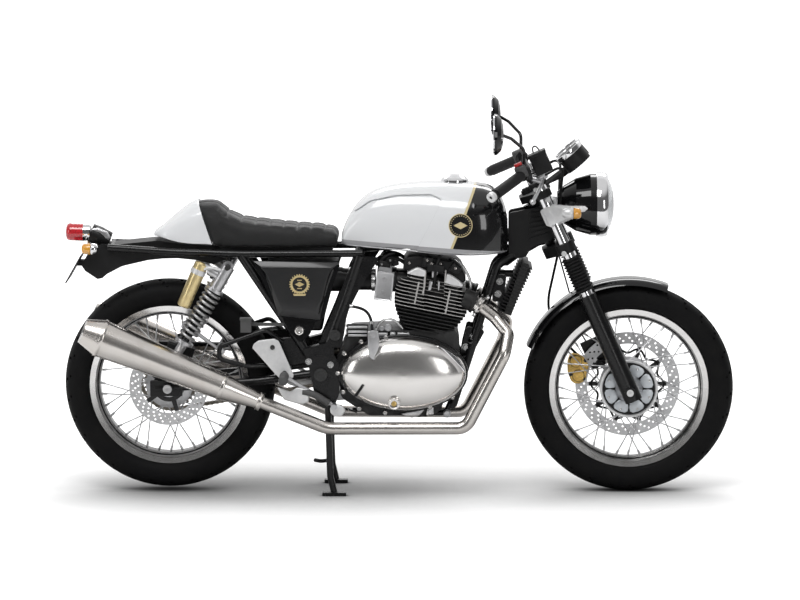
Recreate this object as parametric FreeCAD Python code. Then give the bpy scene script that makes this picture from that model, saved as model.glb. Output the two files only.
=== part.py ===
import FreeCAD, Part
import math
import os

# A parallel-twin cafe racer on its centre stand. +X is forwards, +Y is the rider's left, +Z is up, in
# millimetres. The origin is on the ground, midway between the two axles, in the bike's middle plane.

V = FreeCAD.Vector
ACROSS = V(0, 1, 0)
UP = V(0, 0, 1)

# Driving sizes
wheelbase = 1398.0
front_reach = 699.0
rake = 24.0
fork_offset = 40.3
fork_spacing = 200.0
rim_diameter = 457.2
front_tyre_width = 100.0
front_tyre_height = 90.0
rear_tyre_width = 130.0
rear_tyre_height = 91.0
rear_wheel_lift = 10.0
seat_gap = 0.3
running_gap = 0.6

front_radius = rim_diameter / 2 + front_tyre_height
rear_radius = rim_diameter / 2 + rear_tyre_height
front_axle = V(front_reach, 0, front_radius)
rear_axle = V(front_reach - wheelbase, 0, rear_radius + rear_wheel_lift)
steering_up = V(-math.sin(math.radians(rake)), 0, math.cos(math.radians(rake)))
steering_forward = V(math.cos(math.radians(rake)), 0, math.sin(math.radians(rake)))
steering_foot = front_axle - steering_forward * fork_offset


# Shared ways of making shapes

def vec(point):
    return V(point[0], point[1], point[2])


def rod(start, end, radius):
    start, end = vec(start), vec(end)
    return Part.makeCylinder(radius, (end - start).Length, start, end - start)


def block(low, high):
    return Part.makeBox(high[0] - low[0], high[1] - low[1], high[2] - low[2], vec(low))


def fused(shapes):
    whole = shapes[0].multiFuse(shapes[1:])
    return whole.removeSplitter()


def mirrored(shape):
    return shape.mirror(V(0, 0, 0), ACROSS)


def pair(shape):
    return Part.makeCompound([shape, mirrored(shape)])


def gathered(shapes):
    solids = []
    for shape in shapes:
        solids.extend(shape.Solids)
    return Part.makeCompound(solids)


def tube(points, radius, bend=40.0):
    """A round bar along straight runs joined by tangent bends, of one radius or of one for each corner."""
    points = [vec(p) for p in points]
    bends = bend if isinstance(bend, (list, tuple)) else [bend] * (len(points) - 2)
    pieces, start = [], points[0]
    for before, corner, after, turn in zip(points, points[1:], points[2:], bends):
        came, goes = (corner - before).normalize(), (after - corner).normalize()
        half = came.getAngle(goes) / 2
        first = corner - came * turn * math.tan(half)
        centre = corner + (goes - came).normalize() * (turn / math.cos(half))
        pieces.append(rod(start, first, radius))
        ring = Part.Face(Part.Wire([Part.makeCircle(radius, first, came)]))
        pieces.append(ring.revolve(centre, came.cross(goes), 2 * math.degrees(half)))
        start = corner + goes * turn * math.tan(half)
    pieces.append(rod(start, points[-1], radius))
    return fused(pieces) if len(pieces) > 1 else pieces[0]


def rounded(points, radius):
    """A closed flat wire through 3-D corner points, each corner rounded."""
    points = [vec(p) for p in points]
    count = len(points)
    radii = radius if isinstance(radius, (list, tuple)) else [radius] * count
    edges, previous, opening = [], None, None
    for i in range(count):
        before, corner, after = points[i - 1], points[i], points[(i + 1) % count]
        came, goes = (corner - before).normalize(), (after - corner).normalize()
        half = came.getAngle(goes) / 2
        back = radii[i] * math.tan(half)
        first, last = corner - came * back, corner + goes * back
        middle = corner + (goes - came).normalize() * (radii[i] / math.cos(half) - radii[i])
        if previous is not None:
            edges.append(Part.LineSegment(previous, first).toShape())
        else:
            opening = first
        edges.append(Part.Arc(first, middle, last).toShape())
        previous = last
    edges.append(Part.LineSegment(previous, opening).toShape())
    return Part.Wire(edges)


def slab(outline, y_from, y_to, radius=6.0):
    """A plate whose outline is given in side view as (x, z) corners."""
    wire = rounded([(x, y_from, z) for x, z in outline], radius)
    return Part.Face(wire).extrude(V(0, y_to - y_from, 0))


def turned_profile(points, centre=V(0, 0, 0)):
    """A closed (radius, across) profile turned about the across axis through a centre."""
    wire = Part.makePolygon([centre + V(r, a, 0) for r, a in points + points[:1]])
    return Part.Solid(Part.Face(wire).revolve(centre, ACROSS, 360))


def ringed(points, centre, steps):
    """A closed (radius, across) profile carried round the across axis in flat facets, one corner lowest."""
    rings = []
    for k in range(steps):
        angle = 2 * math.pi * k / steps - math.pi / 2
        rings.append([centre + V(r * math.cos(angle), across, r * math.sin(angle)) for r, across in points])
    faces = []
    for here, after in zip(rings, rings[1:] + rings[:1]):
        for i in range(len(points)):
            j = (i + 1) % len(points)
            faces.append(Part.Face(Part.makePolygon([here[i], here[j], after[j], after[i], here[i]])))
    return Part.Solid(Part.Shell(faces))


def lathe(points, base, direction):
    """A closed (radius, along) profile turned about a line."""
    wire = Part.makePolygon([V(r, 0, t) for r, t in points + points[:1]])
    solid = Part.Solid(Part.Face(wire).revolve(V(0, 0, 0), UP, 360))
    solid.Placement = FreeCAD.Placement(vec(base), FreeCAD.Rotation(UP, vec(direction)))
    return solid


def section(bottom, top, half_widths, heights):
    """A symmetric closed section between a bottom and a top point in side view: flat below, curved above."""
    low, high = V(bottom[0], 0, bottom[1]), V(top[0], 0, top[1])
    left = [low + (high - low) * h + ACROSS * w for w, h in zip(half_widths, heights)]
    right = [V(p.x, -p.y, p.z) for p in left]
    curve = Part.BSplineCurve()
    curve.interpolate(left + [high] + right[::-1])
    base = Part.LineSegment(right[0], left[0])
    return Part.Wire([curve.toShape(), base.toShape()])


def loft(wires, ruled=False):
    return Part.Solid(Part.makeLoft(wires, True, ruled))


def steered(shape):
    """Moves a shape from the steering's own frame, with its Z up the steering axis, to the bike's frame."""
    placed = shape.copy()
    turn = FreeCAD.Placement(steering_foot, FreeCAD.Rotation(ACROSS, -rake))
    placed.Placement = turn.multiply(placed.Placement)
    return placed


def steered_point(x, y, z):
    return steering_foot + steering_forward * x + ACROSS * y + steering_up * z


# Wheels: tyre, rim, laced hub and disc

rim_flange_radius = rim_diameter / 2 + 13.5
rim_bed_radius = rim_diameter / 2 - 16.0
rim_wall = 4.0
tyre_wall = 9.0
tyre_facets = 60
spoke_count = 36
spoke_radius = 1.8
nipple_radius = 3.4
nipple_length = 14.0


def tyre(axle, radius, width, rim_width):
    half, seat, bead = width / 2, rim_width / 2 - rim_wall, rim_diameter / 2
    height = radius - bead
    foot = (bead + seat_gap) / math.cos(math.pi / tyre_facets)
    outer = [(bead + 15, seat), (bead + height * 0.36, half * 0.95), (bead + height * 0.62, half),
             (radius - height * 0.13, half * 0.68)]
    inner = [(radius - tyre_wall - 5, half * 0.55), (foot, seat - tyre_wall)]
    right = inner + [(foot, seat)] + outer
    left = [(r, -across) for r, across in right[::-1]]
    return ringed(right + [(radius, 0)] + left, axle, tyre_facets)


def rim(axle, rim_width):
    half, seat, wall = rim_width / 2, rim_diameter / 2, rim_wall
    well = half * 0.42
    outside = [
        (rim_flange_radius, half + 1), (seat - 3, half - 1), (seat - wall, half * 0.72), (rim_bed_radius, well)]
    inside = [
        (rim_bed_radius + wall, well - 1), (seat, half * 0.72 - 2), (seat, half - wall + seat_gap),
        (rim_flange_radius - 2, half - wall + seat_gap), (rim_flange_radius, half - 2)]
    profile = outside + [(r, -a) for r, a in outside[::-1]] + [(r, -a) for r, a in inside[::-1]] + inside
    return turned_profile(profile, axle)


def laced_hub(axle, flange_radius, flange_across, barrel_radius, bore_radius, half_length, reach, lean):
    """A hub with two flanges and the spokes laced into them, each spoke ending in its nipple under the rim."""
    flange_thickness = 7.0
    hub = turned_profile([
        (bore_radius, -half_length), (barrel_radius * 0.72, -half_length), (barrel_radius, -flange_across - 9),
        (flange_radius, -flange_across - flange_thickness / 2), (flange_radius, -flange_across + flange_thickness / 2),
        (barrel_radius, -flange_across + 12), (barrel_radius * 0.86, 0), (barrel_radius, flange_across - 12),
        (flange_radius, flange_across - flange_thickness / 2), (flange_radius, flange_across + flange_thickness / 2),
        (barrel_radius, flange_across + 9), (barrel_radius * 0.72, half_length), (bore_radius, half_length)], axle)
    pieces = [hub]
    head_radius = flange_radius - 6
    nipple_offset = 7.0
    for k in range(spoke_count):
        side = 1 if k % 2 else -1
        leading = 1 if (k // 2) % 2 else -1
        rim_angle = math.radians(360.0 * k / spoke_count)
        hub_angle = rim_angle + leading * math.radians(lean)
        across = side * (flange_across + leading * (flange_thickness / 2 + spoke_radius - 0.6))
        head = axle + V(head_radius * math.cos(hub_angle), across, head_radius * math.sin(hub_angle))
        tip = axle + V(reach * math.cos(rim_angle), side * nipple_offset, reach * math.sin(rim_angle))
        along = (tip - head).normalize()
        pieces.append(rod(head, tip, spoke_radius))
        pieces.append(rod(tip - along * nipple_length, tip, nipple_radius))
    return fused(pieces)


def pocketed(hub, axle, face_across, inner, outer, count, depth):
    """Sinks a ring of rounded pockets into a hub's flange face, one between each pair of ribs."""
    middle, half_span = (inner + outer) / 2, (outer - inner) / 2
    tools = []
    for k in range(count):
        angle = 2 * math.pi * k / count
        centre = axle + V(middle * math.cos(angle), face_across, middle * math.sin(angle))
        tools.append(Part.makeCylinder(half_span, depth, centre, ACROSS if face_across < 0 else -ACROSS))
    return hub.cut(Part.makeCompound(tools))


def disc(axle, across, outer, inner, thickness, carrier_inner, arms, rows):
    """A drilled brake disc on its spider."""
    base = axle + V(0, across, 0)
    rotor = Part.makeCylinder(outer, thickness, base, ACROSS).cut(
        Part.makeCylinder(inner, thickness, base, ACROSS))
    drill_radius, drills = 3.2, 30
    holes = []
    for row in range(rows):
        at = inner + (outer - inner) * (row + 1) / (rows + 1)
        for k in range(drills):
            angle = 2 * math.pi * (k + row / rows) / drills
            centre = base + V(at * math.cos(angle), -1, at * math.sin(angle))
            holes.append(Part.makeCylinder(drill_radius, thickness + 2, centre, ACROSS))
    rotor = rotor.cut(Part.makeCompound(holes))
    ring = Part.makeCylinder(carrier_inner + 12, thickness, base, ACROSS).cut(
        Part.makeCylinder(carrier_inner, thickness, base, ACROSS))
    spider = [rotor, ring]
    arm_width = 13.0
    for k in range(arms):
        angle = 360.0 * k / arms
        arm = block((carrier_inner + 4, 0, -arm_width / 2), (inner + 3, thickness, arm_width / 2))
        arm.rotate(V(0, 0, 0), ACROSS, angle)
        arm.translate(base)
        spider.append(arm)
    return fused(spider)


front_rim_width = 66.0
rear_rim_width = 100.0
spoke_reach = rim_bed_radius - 1.0 - seat_gap
front_hub_half = 62.0
rear_hub_half = 74.0
front_flange = 34.0
rear_flange = 36.0
axle_radius = 8.5
bearing_bore = axle_radius + seat_gap
front_disc_across = 55.0
rear_disc_across = -76.0
disc_thickness = 5.0


def front_wheel_parts():
    hub = laced_hub(front_axle, 88.0, front_flange, 42.0, bearing_bore, front_hub_half, spoke_reach, 33.0)
    hub = pocketed(hub, front_axle, -front_flange - 3.5, 48.0, 78.0, 10, 4.5)
    return {
        "front_tyre": tyre(front_axle, front_radius, front_tyre_width, front_rim_width),
        "front_rim": rim(front_axle, front_rim_width),
        "front_hub": hub,
        "front_disc": disc(front_axle, front_disc_across, 160.0, 124.0, disc_thickness, 62.0, 10, 3),
    }


sprocket_across = 84.0
chain_pitch = 15.875
rear_teeth = 38
front_teeth = 15
roller_radius = 5.1
rear_pitch_radius = chain_pitch / (2 * math.sin(math.pi / rear_teeth))
front_pitch_radius = chain_pitch / (2 * math.sin(math.pi / front_teeth))
sprocket_thickness = 7.0


def toothed_disc(centre, pitch_radius, teeth, thickness, bore):
    """A sprocket with short rounded teeth that stay clear of the chain's rollers."""
    tip = pitch_radius - roller_radius - 2 * running_gap
    root = tip - 7.0
    corners = []
    for k in range(teeth):
        for share, radius in ((-0.36, root), (-0.14, tip), (0.14, tip), (0.36, root)):
            angle = 2 * math.pi * (k + share) / teeth
            corners.append(centre + V(radius * math.cos(angle), -thickness / 2, radius * math.sin(angle)))
    plate = Part.Face(Part.makePolygon(corners + corners[:1])).extrude(V(0, thickness, 0))
    return plate.cut(Part.makeCylinder(bore, thickness, centre - ACROSS * thickness / 2, ACROSS))


def rear_wheel_parts():
    hub = laced_hub(rear_axle, 72.0, rear_flange, 48.0, bearing_bore, rear_hub_half, spoke_reach, 38.0)
    centre = rear_axle + ACROSS * sprocket_across
    sprocket = toothed_disc(centre, rear_pitch_radius, rear_teeth, sprocket_thickness, 30.0)
    lightening = []
    for k in range(6):
        angle = 2 * math.pi * k / 6
        at = centre + V(61 * math.cos(angle), -sprocket_thickness, 61 * math.sin(angle))
        lightening.append(Part.makeCylinder(13, 2 * sprocket_thickness, at, ACROSS))
    sprocket = sprocket.cut(Part.makeCompound(lightening))
    cush_start = rear_flange + 14
    drum = Part.makeCylinder(46, sprocket_across - sprocket_thickness / 2 - seat_gap - cush_start,
                             rear_axle + ACROSS * cush_start, ACROSS)
    drum = drum.cut(Part.makeCylinder(bearing_bore, 100, rear_axle, ACROSS))
    return {
        "rear_tyre": tyre(rear_axle, rear_radius, rear_tyre_width, rear_rim_width),
        "rear_rim": rim(rear_axle, rear_rim_width),
        "rear_hub": fused([hub, drum]),
        "rear_disc": disc(rear_axle, rear_disc_across, 120.0, 84.0, disc_thickness, 36.0, 5, 3),
        "rear_sprocket": sprocket,
    }


# Frame, swingarm and shocks

head_low = 506.0
head_high = 636.0
head_tube_radius = 30.0
stem_radius = 14.0
pivot = V(-232.5, 0, 378.0)
stand_pivot = V(-215.0, 0, 290.0)
rail_across = 112.0
swingarm_across = 114.0
main_tube = 15.0
rail_height = 738.0
shock_bottom = rear_axle + V(23, 0, 94.4)
shock_top = shock_bottom + V(162, 0, 277.5)
shock_across = 130.0


def frame_parts():
    head_tube = steered(Part.makeCylinder(head_tube_radius, head_high - head_low, V(0, 0, head_low)))
    bore = steered(Part.makeCylinder(stem_radius + running_gap, 400, V(0, 0, 400)))
    head_middle = steered_point(0, 0, head_low + 30)
    backbone = rod(head_middle, (-120, 0, 752), 21.0)
    cross_front = rod((-118, -rail_across, 738), (-118, rail_across, 738), 14.0)
    cross_rear = rod((-468, -rail_across, 732), (-468, rail_across, 732), 11.0)
    pivot_tube = rod((pivot.x, -96, pivot.z), (pivot.x, 96, pivot.z), 20.0)
    gusset = slab([(430, 765), (300, 752), (296, 690), (330, 690)], -4, 4, 8)
    side = [
        tube([head_middle + V(-6, 0, -18), (296, 58, 700), (216, 60, 437), (163, 62, 272)], 14.0, [40, 400]),
        tube([(-118, rail_across, 734), (-163, 106, 596), (-226, 106, 430)], main_tube, 300),
        tube([(-110, rail_across, 740), (-470, rail_across, 738), (-680, 96, 742), (-880, 70, 752)], 11.0, [300, 400]),
        rod((-476, rail_across, 733), (-276, 106, 432), 13.0),
        rod((pivot.x, 88, pivot.z), (pivot.x, 98, pivot.z), 24.0),
        slab([(-290, 452), (-196, 476), (-196, 416), (-272, 408)], 98, 133, 8),
        slab([(-278, 430), (-196, 436), (-180, 404), (-178, 320), (-196, 272), (-230, 272), (-252, 300)],
             128, 135, [8, 10, 12, 10, 8, 8, 8]),
        slab([(-58, 728), (-121, 628), (-151, 568), (-160, 536), (-172, 454), (-246, 454), (-200, 560), (-150, 690),
              (-118, 732)], 108, 118, [6, 60, 60, 20, 6, 6, 60, 60, 6]),
        rod((-196, 112, 475), (-196, 138, 475), 17.0),
        rod((-236, 130, 360), (-236, 140, 360), 20.0),
        slab([(-425, 474), (-290, 486), (-258, 412), (-330, 396), (-400, 404)], 98, 106, 10),
        rod((-396, 100, 452), (-396, 136 - seat_gap, 452), 8.0),
        rod((-352, 100, 412), (-352, 136 - seat_gap, 412), 8.0),
        rod((pivot.x, 96, pivot.z), (pivot.x, 135, pivot.z), 13.0),
        rod((shock_top.x, 98, rail_height), shock_top + ACROSS * 98, 9.0),
        rod(shock_top + ACROSS * 98, shock_top + ACROSS * 142, 8.0),
        slab([(284, 672), (326, 670), (316, 588), (282, 588)], 58, 66, 8),
        tube([(-352, 106, 470), (-400, 130, 510), (-540, 140, 461), (-542, 140, 422), (-459, 136, 399),
              (-350, 106, 400)], 7.0, [24, 16, 18, 60]),
        slab([(262, 500), (206, 512), (192, 455), (184, 405), (200, 385), (224, 430)], 57, 63, 8),
    ]
    holes = [Part.makeCylinder(8, 40, V(217, -80, 468), ACROSS), Part.makeCylinder(8, 40, V(217, 40, 468), ACROSS),
             Part.makeCylinder(7, 40, V(196, -80, 425), ACROSS), Part.makeCylinder(7, 40, V(196, 40, 425), ACROSS)]
    stand_rod = rod((stand_pivot.x, -135, stand_pivot.z), (stand_pivot.x, 135, stand_pivot.z), 8.0)
    lower_cross = rod((163, -62, 272), (163, 62, 272), 12.0)
    tail_loop = rod((-872, -72, 752), (-872, 72, 752), 10.0)
    pieces = [head_tube, backbone, cross_front, cross_rear, pivot_tube, gusset, stand_rod, lower_cross, tail_loop]
    for piece in side:
        pieces.append(piece)
        pieces.append(mirrored(piece))
    bracket, _ = side_stand_parts()
    bracket_rail = tube([(163, 62, 272), (142, 66, 226), (40, 80, 226)], 9.0, 24)
    whole = fused(pieces + [bracket, bracket_rail])
    return {"frame": whole.cut(bore).cut(Part.makeCompound(holes))}




def rear_suspension():
    elbow = pivot + (rear_axle - pivot) * 0.4 + V(0, 0, -7)
    tail = rear_axle + V(-36, 0, -1.6)
    mount = shock_bottom - rear_axle
    arm = [tube([pivot + ACROSS * swingarm_across, elbow + ACROSS * swingarm_across,
                 tail + ACROSS * swingarm_across], 13.0, 300),
           block(rear_axle + V(-53, 104, -23.6), rear_axle + V(44, 124, 22.4)),
           slab([(rear_axle.x + x, rear_axle.z + z) for x, z in
                 ((-36, 10.4), (59, 15.4), (mount.x + 18, mount.z + 16), (mount.x - 18, mount.z + 16))],
                106, 114, 8),
           rod(shock_bottom + ACROSS * 108, shock_bottom + ACROSS * 140, 8.0)]
    cross_at = pivot + (elbow - pivot) * 0.6
    cross = rod(cross_at - ACROSS * swingarm_across, cross_at + ACROSS * swingarm_across, 14.0)
    arms = []
    for piece in arm:
        arms.extend([piece, mirrored(piece)])
    pivot_boss = Part.makeCylinder(23, 228, V(pivot.x, -114, pivot.z), ACROSS)
    inside = Part.makeCylinder(90, 200, V(pivot.x, -100, pivot.z), ACROSS)
    bosses = pivot_boss.cut(inside)
    swingarm = fused(arms + [cross, bosses])
    bore = rod((pivot.x, -140, pivot.z), (pivot.x, 140, pivot.z), 13.0 + seat_gap)
    swingarm = swingarm.cut(bore)
    axle = rod((rear_axle.x, -138, rear_axle.z), (rear_axle.x, 138, rear_axle.z), axle_radius)
    nuts = [Part.makeCylinder(16, 12, V(rear_axle.x, 124, rear_axle.z), ACROSS),
            Part.makeCylinder(16, 12, V(rear_axle.x, -124, rear_axle.z), -ACROSS)]
    along = (shock_bottom - shock_top).normalize()
    length = (shock_bottom - shock_top).Length
    top, bottom = shock_top + ACROSS * shock_across, shock_bottom + ACROSS * shock_across
    eye = rod(top - ACROSS * 9, top + ACROSS * 9, 17.0)
    body = [eye, rod(top, top + along * 84, 21.0), rod(top + along * 40, bottom, 11.0),
            rod(top + along * 76, top + along * 86, 29.0), rod(bottom - along * 62, bottom - along * 52, 29.0),
            rod(bottom - along * 52, bottom - along * 12, 14.0),
            rod(bottom - ACROSS * 9, bottom + ACROSS * 9, 17.0)]
    backwards = V(along.z, 0, -along.x)
    bridge = rod(top + along * 38, top + along * 38 + backwards * 62, 15.0)
    pin_bores = gathered([rod(end - ACROSS * 23, end + ACROSS * 23, 8.0 + seat_gap) for end in (top, bottom)])
    shock = fused(body + [bridge]).cut(pin_bores)
    reservoir_top = top + along * 30 + backwards * 64
    reservoir = rod(reservoir_top, reservoir_top + along * 104, 21.0)
    shock = shock.cut(reservoir)
    turns, valley, crest = 9, 22.0, 29.0
    spring_from, spring_to = 86.0, length - 62.0
    pitch = (spring_to - spring_from) / turns
    profile = [(11.0, spring_from), (valley, spring_from)]
    for k in range(turns):
        start = spring_from + pitch * k
        profile.extend([(valley, start + pitch * 0.2), (crest, start + pitch * 0.35),
                        (crest, start + pitch * 0.65), (valley, start + pitch * 0.8)])
    profile.extend([(valley, spring_to), (11.0, spring_to)])
    spring_solid = lathe(profile, top, along)
    return {
        "swingarm": fused([swingarm, axle] + nuts),
        "shocks": pair(shock),
        "shock_springs": pair(spring_solid),
        "shock_reservoirs": pair(reservoir),
    }


def chain():
    """The closed run of links round both sprockets, alternately wide and narrow."""
    links = 100
    distance = (links - (rear_teeth + front_teeth) / 2) * chain_pitch / 2
    distance -= chain_pitch * ((rear_teeth - front_teeth) / (2 * math.pi)) ** 2 / 2 / (distance / chain_pitch)
    output_height = 372.0
    output = V(rear_axle.x + math.sqrt(distance ** 2 - (output_height - rear_axle.z) ** 2), 0, output_height)
    lean = math.asin((rear_pitch_radius - front_pitch_radius) / distance)
    line = math.atan2(output.z - rear_axle.z, output.x - rear_axle.x)
    rear_wrap = math.pi + 2 * lean
    front_wrap = math.pi - 2 * lean
    straight = distance * math.cos(lean)
    total = 2 * straight + rear_wrap * rear_pitch_radius + front_wrap * front_pitch_radius
    top_angle = line + math.pi / 2 - lean
    bottom_angle = line - math.pi / 2 + lean

    def place(run):
        if run < straight:
            start = rear_axle + V(math.cos(top_angle), 0, math.sin(top_angle)) * rear_pitch_radius
            heading = top_angle - math.pi / 2
            return start + V(math.cos(heading), 0, math.sin(heading)) * run, heading
        run -= straight
        if run < front_wrap * front_pitch_radius:
            turn = top_angle - run / front_pitch_radius
            return output + V(math.cos(turn), 0, math.sin(turn)) * front_pitch_radius, turn - math.pi / 2
        run -= front_wrap * front_pitch_radius
        if run < straight:
            start = output + V(math.cos(bottom_angle), 0, math.sin(bottom_angle)) * front_pitch_radius
            heading = bottom_angle - math.pi / 2
            return start + V(math.cos(heading), 0, math.sin(heading)) * run, heading
        run -= straight
        turn = bottom_angle - run / rear_pitch_radius
        return rear_axle + V(math.cos(turn), 0, math.sin(turn)) * rear_pitch_radius, turn - math.pi / 2

    pins = [place(total * k / links)[0] for k in range(links)]
    half, depth = 8.0, 4.4
    outer, inner = [], []
    for k in range(links):
        before, here, after = pins[k - 1], pins[k], pins[(k + 1) % links]
        normal = (after - before).cross(ACROSS).normalize()
        outer.append(here + normal * depth + ACROSS * (sprocket_across - half))
        inner.append(here - normal * depth + ACROSS * (sprocket_across - half))
    loops = sorted([Part.makePolygon(outer + outer[:1]), Part.makePolygon(inner + inner[:1])],
                   key=lambda wire: -wire.Length)
    band = Part.Face(loops[0]).cut(Part.Face(loops[1]))
    run = [band.extrude(ACROSS * 2 * half)]
    for k in range(0, links, 2):
        here, after = pins[k], pins[(k + 1) % links]
        along = (after - here).normalize()
        width = 10.5
        height = 5.6
        gap = 1.0
        link = Part.makeBox(chain_pitch - gap, 2 * width, 2 * height, V(gap / 2, -width, -height))
        link.Placement = FreeCAD.Placement(here + ACROSS * sprocket_across,
                                           FreeCAD.Rotation(V(1, 0, 0), along))
        run.append(link)
    whole = run[0].multiFuse(run[1:])
    front = toothed_disc(output + ACROSS * sprocket_across, front_pitch_radius, front_teeth, sprocket_thickness, 12.0)
    return whole, output, front


def chain_guard(output):
    """A top plate and an outer skirt over the chain's upper run, on two lugs against the swingarm."""
    rear_top, front_top = rear_axle.z + rear_pitch_radius + 15, output.z + front_pitch_radius + 15
    slope = (front_top - rear_top) / (output.x - rear_axle.x)
    back, front = rear_axle.x - 40, rear_axle.x + 250
    low = rear_top - 40 * slope
    high = rear_top + 250 * slope
    top = slab([(back, low), (front, high), (front, high + 3), (back, low + 3)], 73, 99, 0.5)
    skirt = slab([(back, low - 22), (front, high - 22), (front, high + 3), (back, low + 3)], 97, 99, 0.5)
    seat_face = 106 - seat_gap
    lug = block(shock_bottom + V(-12, 97, -16), shock_bottom + V(12, seat_face, 10))
    return {"chain_guard": fused([top, skirt, lug])}


def rear_brake(frame):
    """The floating caliper over the rear disc, and the fluid pot on the frame with its bracket."""
    radial = V(math.cos(math.radians(72)), 0, math.sin(math.radians(72)))
    tangent = V(radial.z, 0, -radial.x)
    centre = rear_axle + radial * 104
    width = 44.0
    box = Part.makeBox(50, width, 84, V(-20, -width, -42))
    box = box.makeFillet(8, [e for e in box.Edges if abs(e.Length - width) > 1])
    box.Placement = FreeCAD.Placement(V(centre.x, rear_disc_across + 24, centre.z),
                                      FreeCAD.Rotation(radial, ACROSS, tangent * -1, "XYZ"))
    slot = Part.makeCylinder(126, disc_thickness + 10, rear_axle + ACROSS * (rear_disc_across - 5), ACROSS)
    hanger = rod(centre - ACROSS * 90, centre - ACROSS * (106 - seat_gap), 9.0)
    caliper = fused([box.cut(slot), hanger])
    pot = block((-477, -142, 503), (-445, -114, 540))
    lid = block((-479, -144, 540), (-443, -112, 546))
    bracket = block((-446, -120, 520), (-345, -116, 530)).cut(frame)
    return {"rear_caliper": caliper, "brake_reservoir": fused([pot, lid, bracket])}


def headstock_covers(frame):
    """Ribbed covers on both sides of the head tube, inside the sweep of the fork."""
    plate = slab([(332, 735), (332, 856), (362, 862), (429, 876), (474, 782), (400, 750), (385, 724), (350, 716)],
                 34, 50, [8, 12, 8, 8, 8, 6, 6, 12])
    ribs = [slab([(392, 850 - 16 * k), (396, 858 - 16 * k), (439 + 3 * k, 858 - 12 * k), (437 + 3 * k, 851 - 12 * k)],
                 48, 54, 1.5) for k in range(6)]
    boss = steered(rod((-20, 15, 560), (-20, 34, 560), 9.0))
    room = steered(Part.makeCylinder(head_tube_radius + seat_gap, 200, V(0, 0, 480)))
    cover = fused([plate, boss] + ribs).cut(room).cut(frame)
    return {"headstock_covers": pair(max(cover.Solids, key=lambda piece: piece.Volume))}


# Tank, seat and tail

tank_stations = [
    (-174, 763, 790, 66), (-160, 762, 828, 74), (-130, 758, 876, 82), (-88, 755, 914, 92),
    (-40, 753, 932, 101), (40, 748, 944, 115), (120, 740, 948, 126), (200, 737, 947, 132),
    (250, 738, 941, 128), (288, 740, 927, 116), (312, 742, 896, 98), (328, 744, 850, 74)]


def tank_hull(widen):
    wires = []
    for x, low, high, half in tank_stations:
        w = half + widen
        wires.append(section((x, low), (x, high), [w * 0.97, w, w * 0.9, w * 0.55], [0.02, 0.3, 0.72, 0.95]))
    return loft(wires)


def tank_parts():
    inner = tank_hull(-7.0)
    outer = tank_hull(5.0)
    recess = slab([(-230, 700), (-230, 868), (-135, 862), (-87, 897), (-5, 915), (96, 919), (132, 904), (56, 756),
                   (50, 700)], -200, 200, [10, 10, 30, 60, 60, 20, 12, 10, 10])
    tunnel = block((-118, -52, 700), (340, 52, 862)).fuse(block((-200, -52, 700), (-110, 52, 780)))
    body = inner.fuse(outer.cut(recess)).removeSplitter().cut(tunnel)
    neck = Part.makeCylinder(45, 20, V(168, 0, 930))
    cap = lathe([(0, 0), (41, 0), (41, 9), (36, 15), (22, 23), (0, 26)], (168, 0, 944.5), UP)
    return {"fuel_tank": body.fuse(neck.common(block((0, -60, 930), (300, 60, 944.5)))).cut(cap), "fuel_cap": cap}


def seat_parts():
    seat_stations = [
        (-181, 756, 800, 84), (-230, 756, 806, 94), (-284, 756, 810, 102), (-354, 756, 816, 108),
        (-424, 756, 824, 110), (-484, 756, 835, 108), (-519, 756, 853, 104), (-545, 758, 874, 100)]
    wires = [section((x, low), (x, high), [w, w, w * 0.94, w * 0.6], [0.03, 0.55, 0.84, 0.975])
             for x, low, high, w in seat_stations]
    seat = loft(wires)
    rear = loft([section((-541, 758), (-541, 874), [100, 99, 94, 60], [0.03, 0.4, 0.72, 0.95]),
                 section((-560, 759), (-562, 886), [97, 96, 90, 56], [0.03, 0.4, 0.72, 0.95]),
                 section((-562, 760), (-606, 894), [97, 94, 84, 46], [0.03, 0.4, 0.75, 0.95])])
    cowl = loft([section((-563, 761), (-608, 892), [98, 96, 86, 48], [0.03, 0.4, 0.75, 0.95]),
                 section((-600, 763), (-630, 884), [95, 93, 82, 46], [0.03, 0.4, 0.75, 0.95]),
                 section((-660, 768), (-676, 850), [88, 86, 76, 44], [0.03, 0.4, 0.75, 0.95]),
                 section((-712, 782), (-720, 812), [74, 73, 66, 42], [0.03, 0.4, 0.75, 0.95]),
                 section((-741, 786), (-743, 794), [50, 49, 45, 30], [0.03, 0.4, 0.75, 0.95])])
    return {"seat": seat.fuse(rear), "seat_cowl": cowl}


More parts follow.
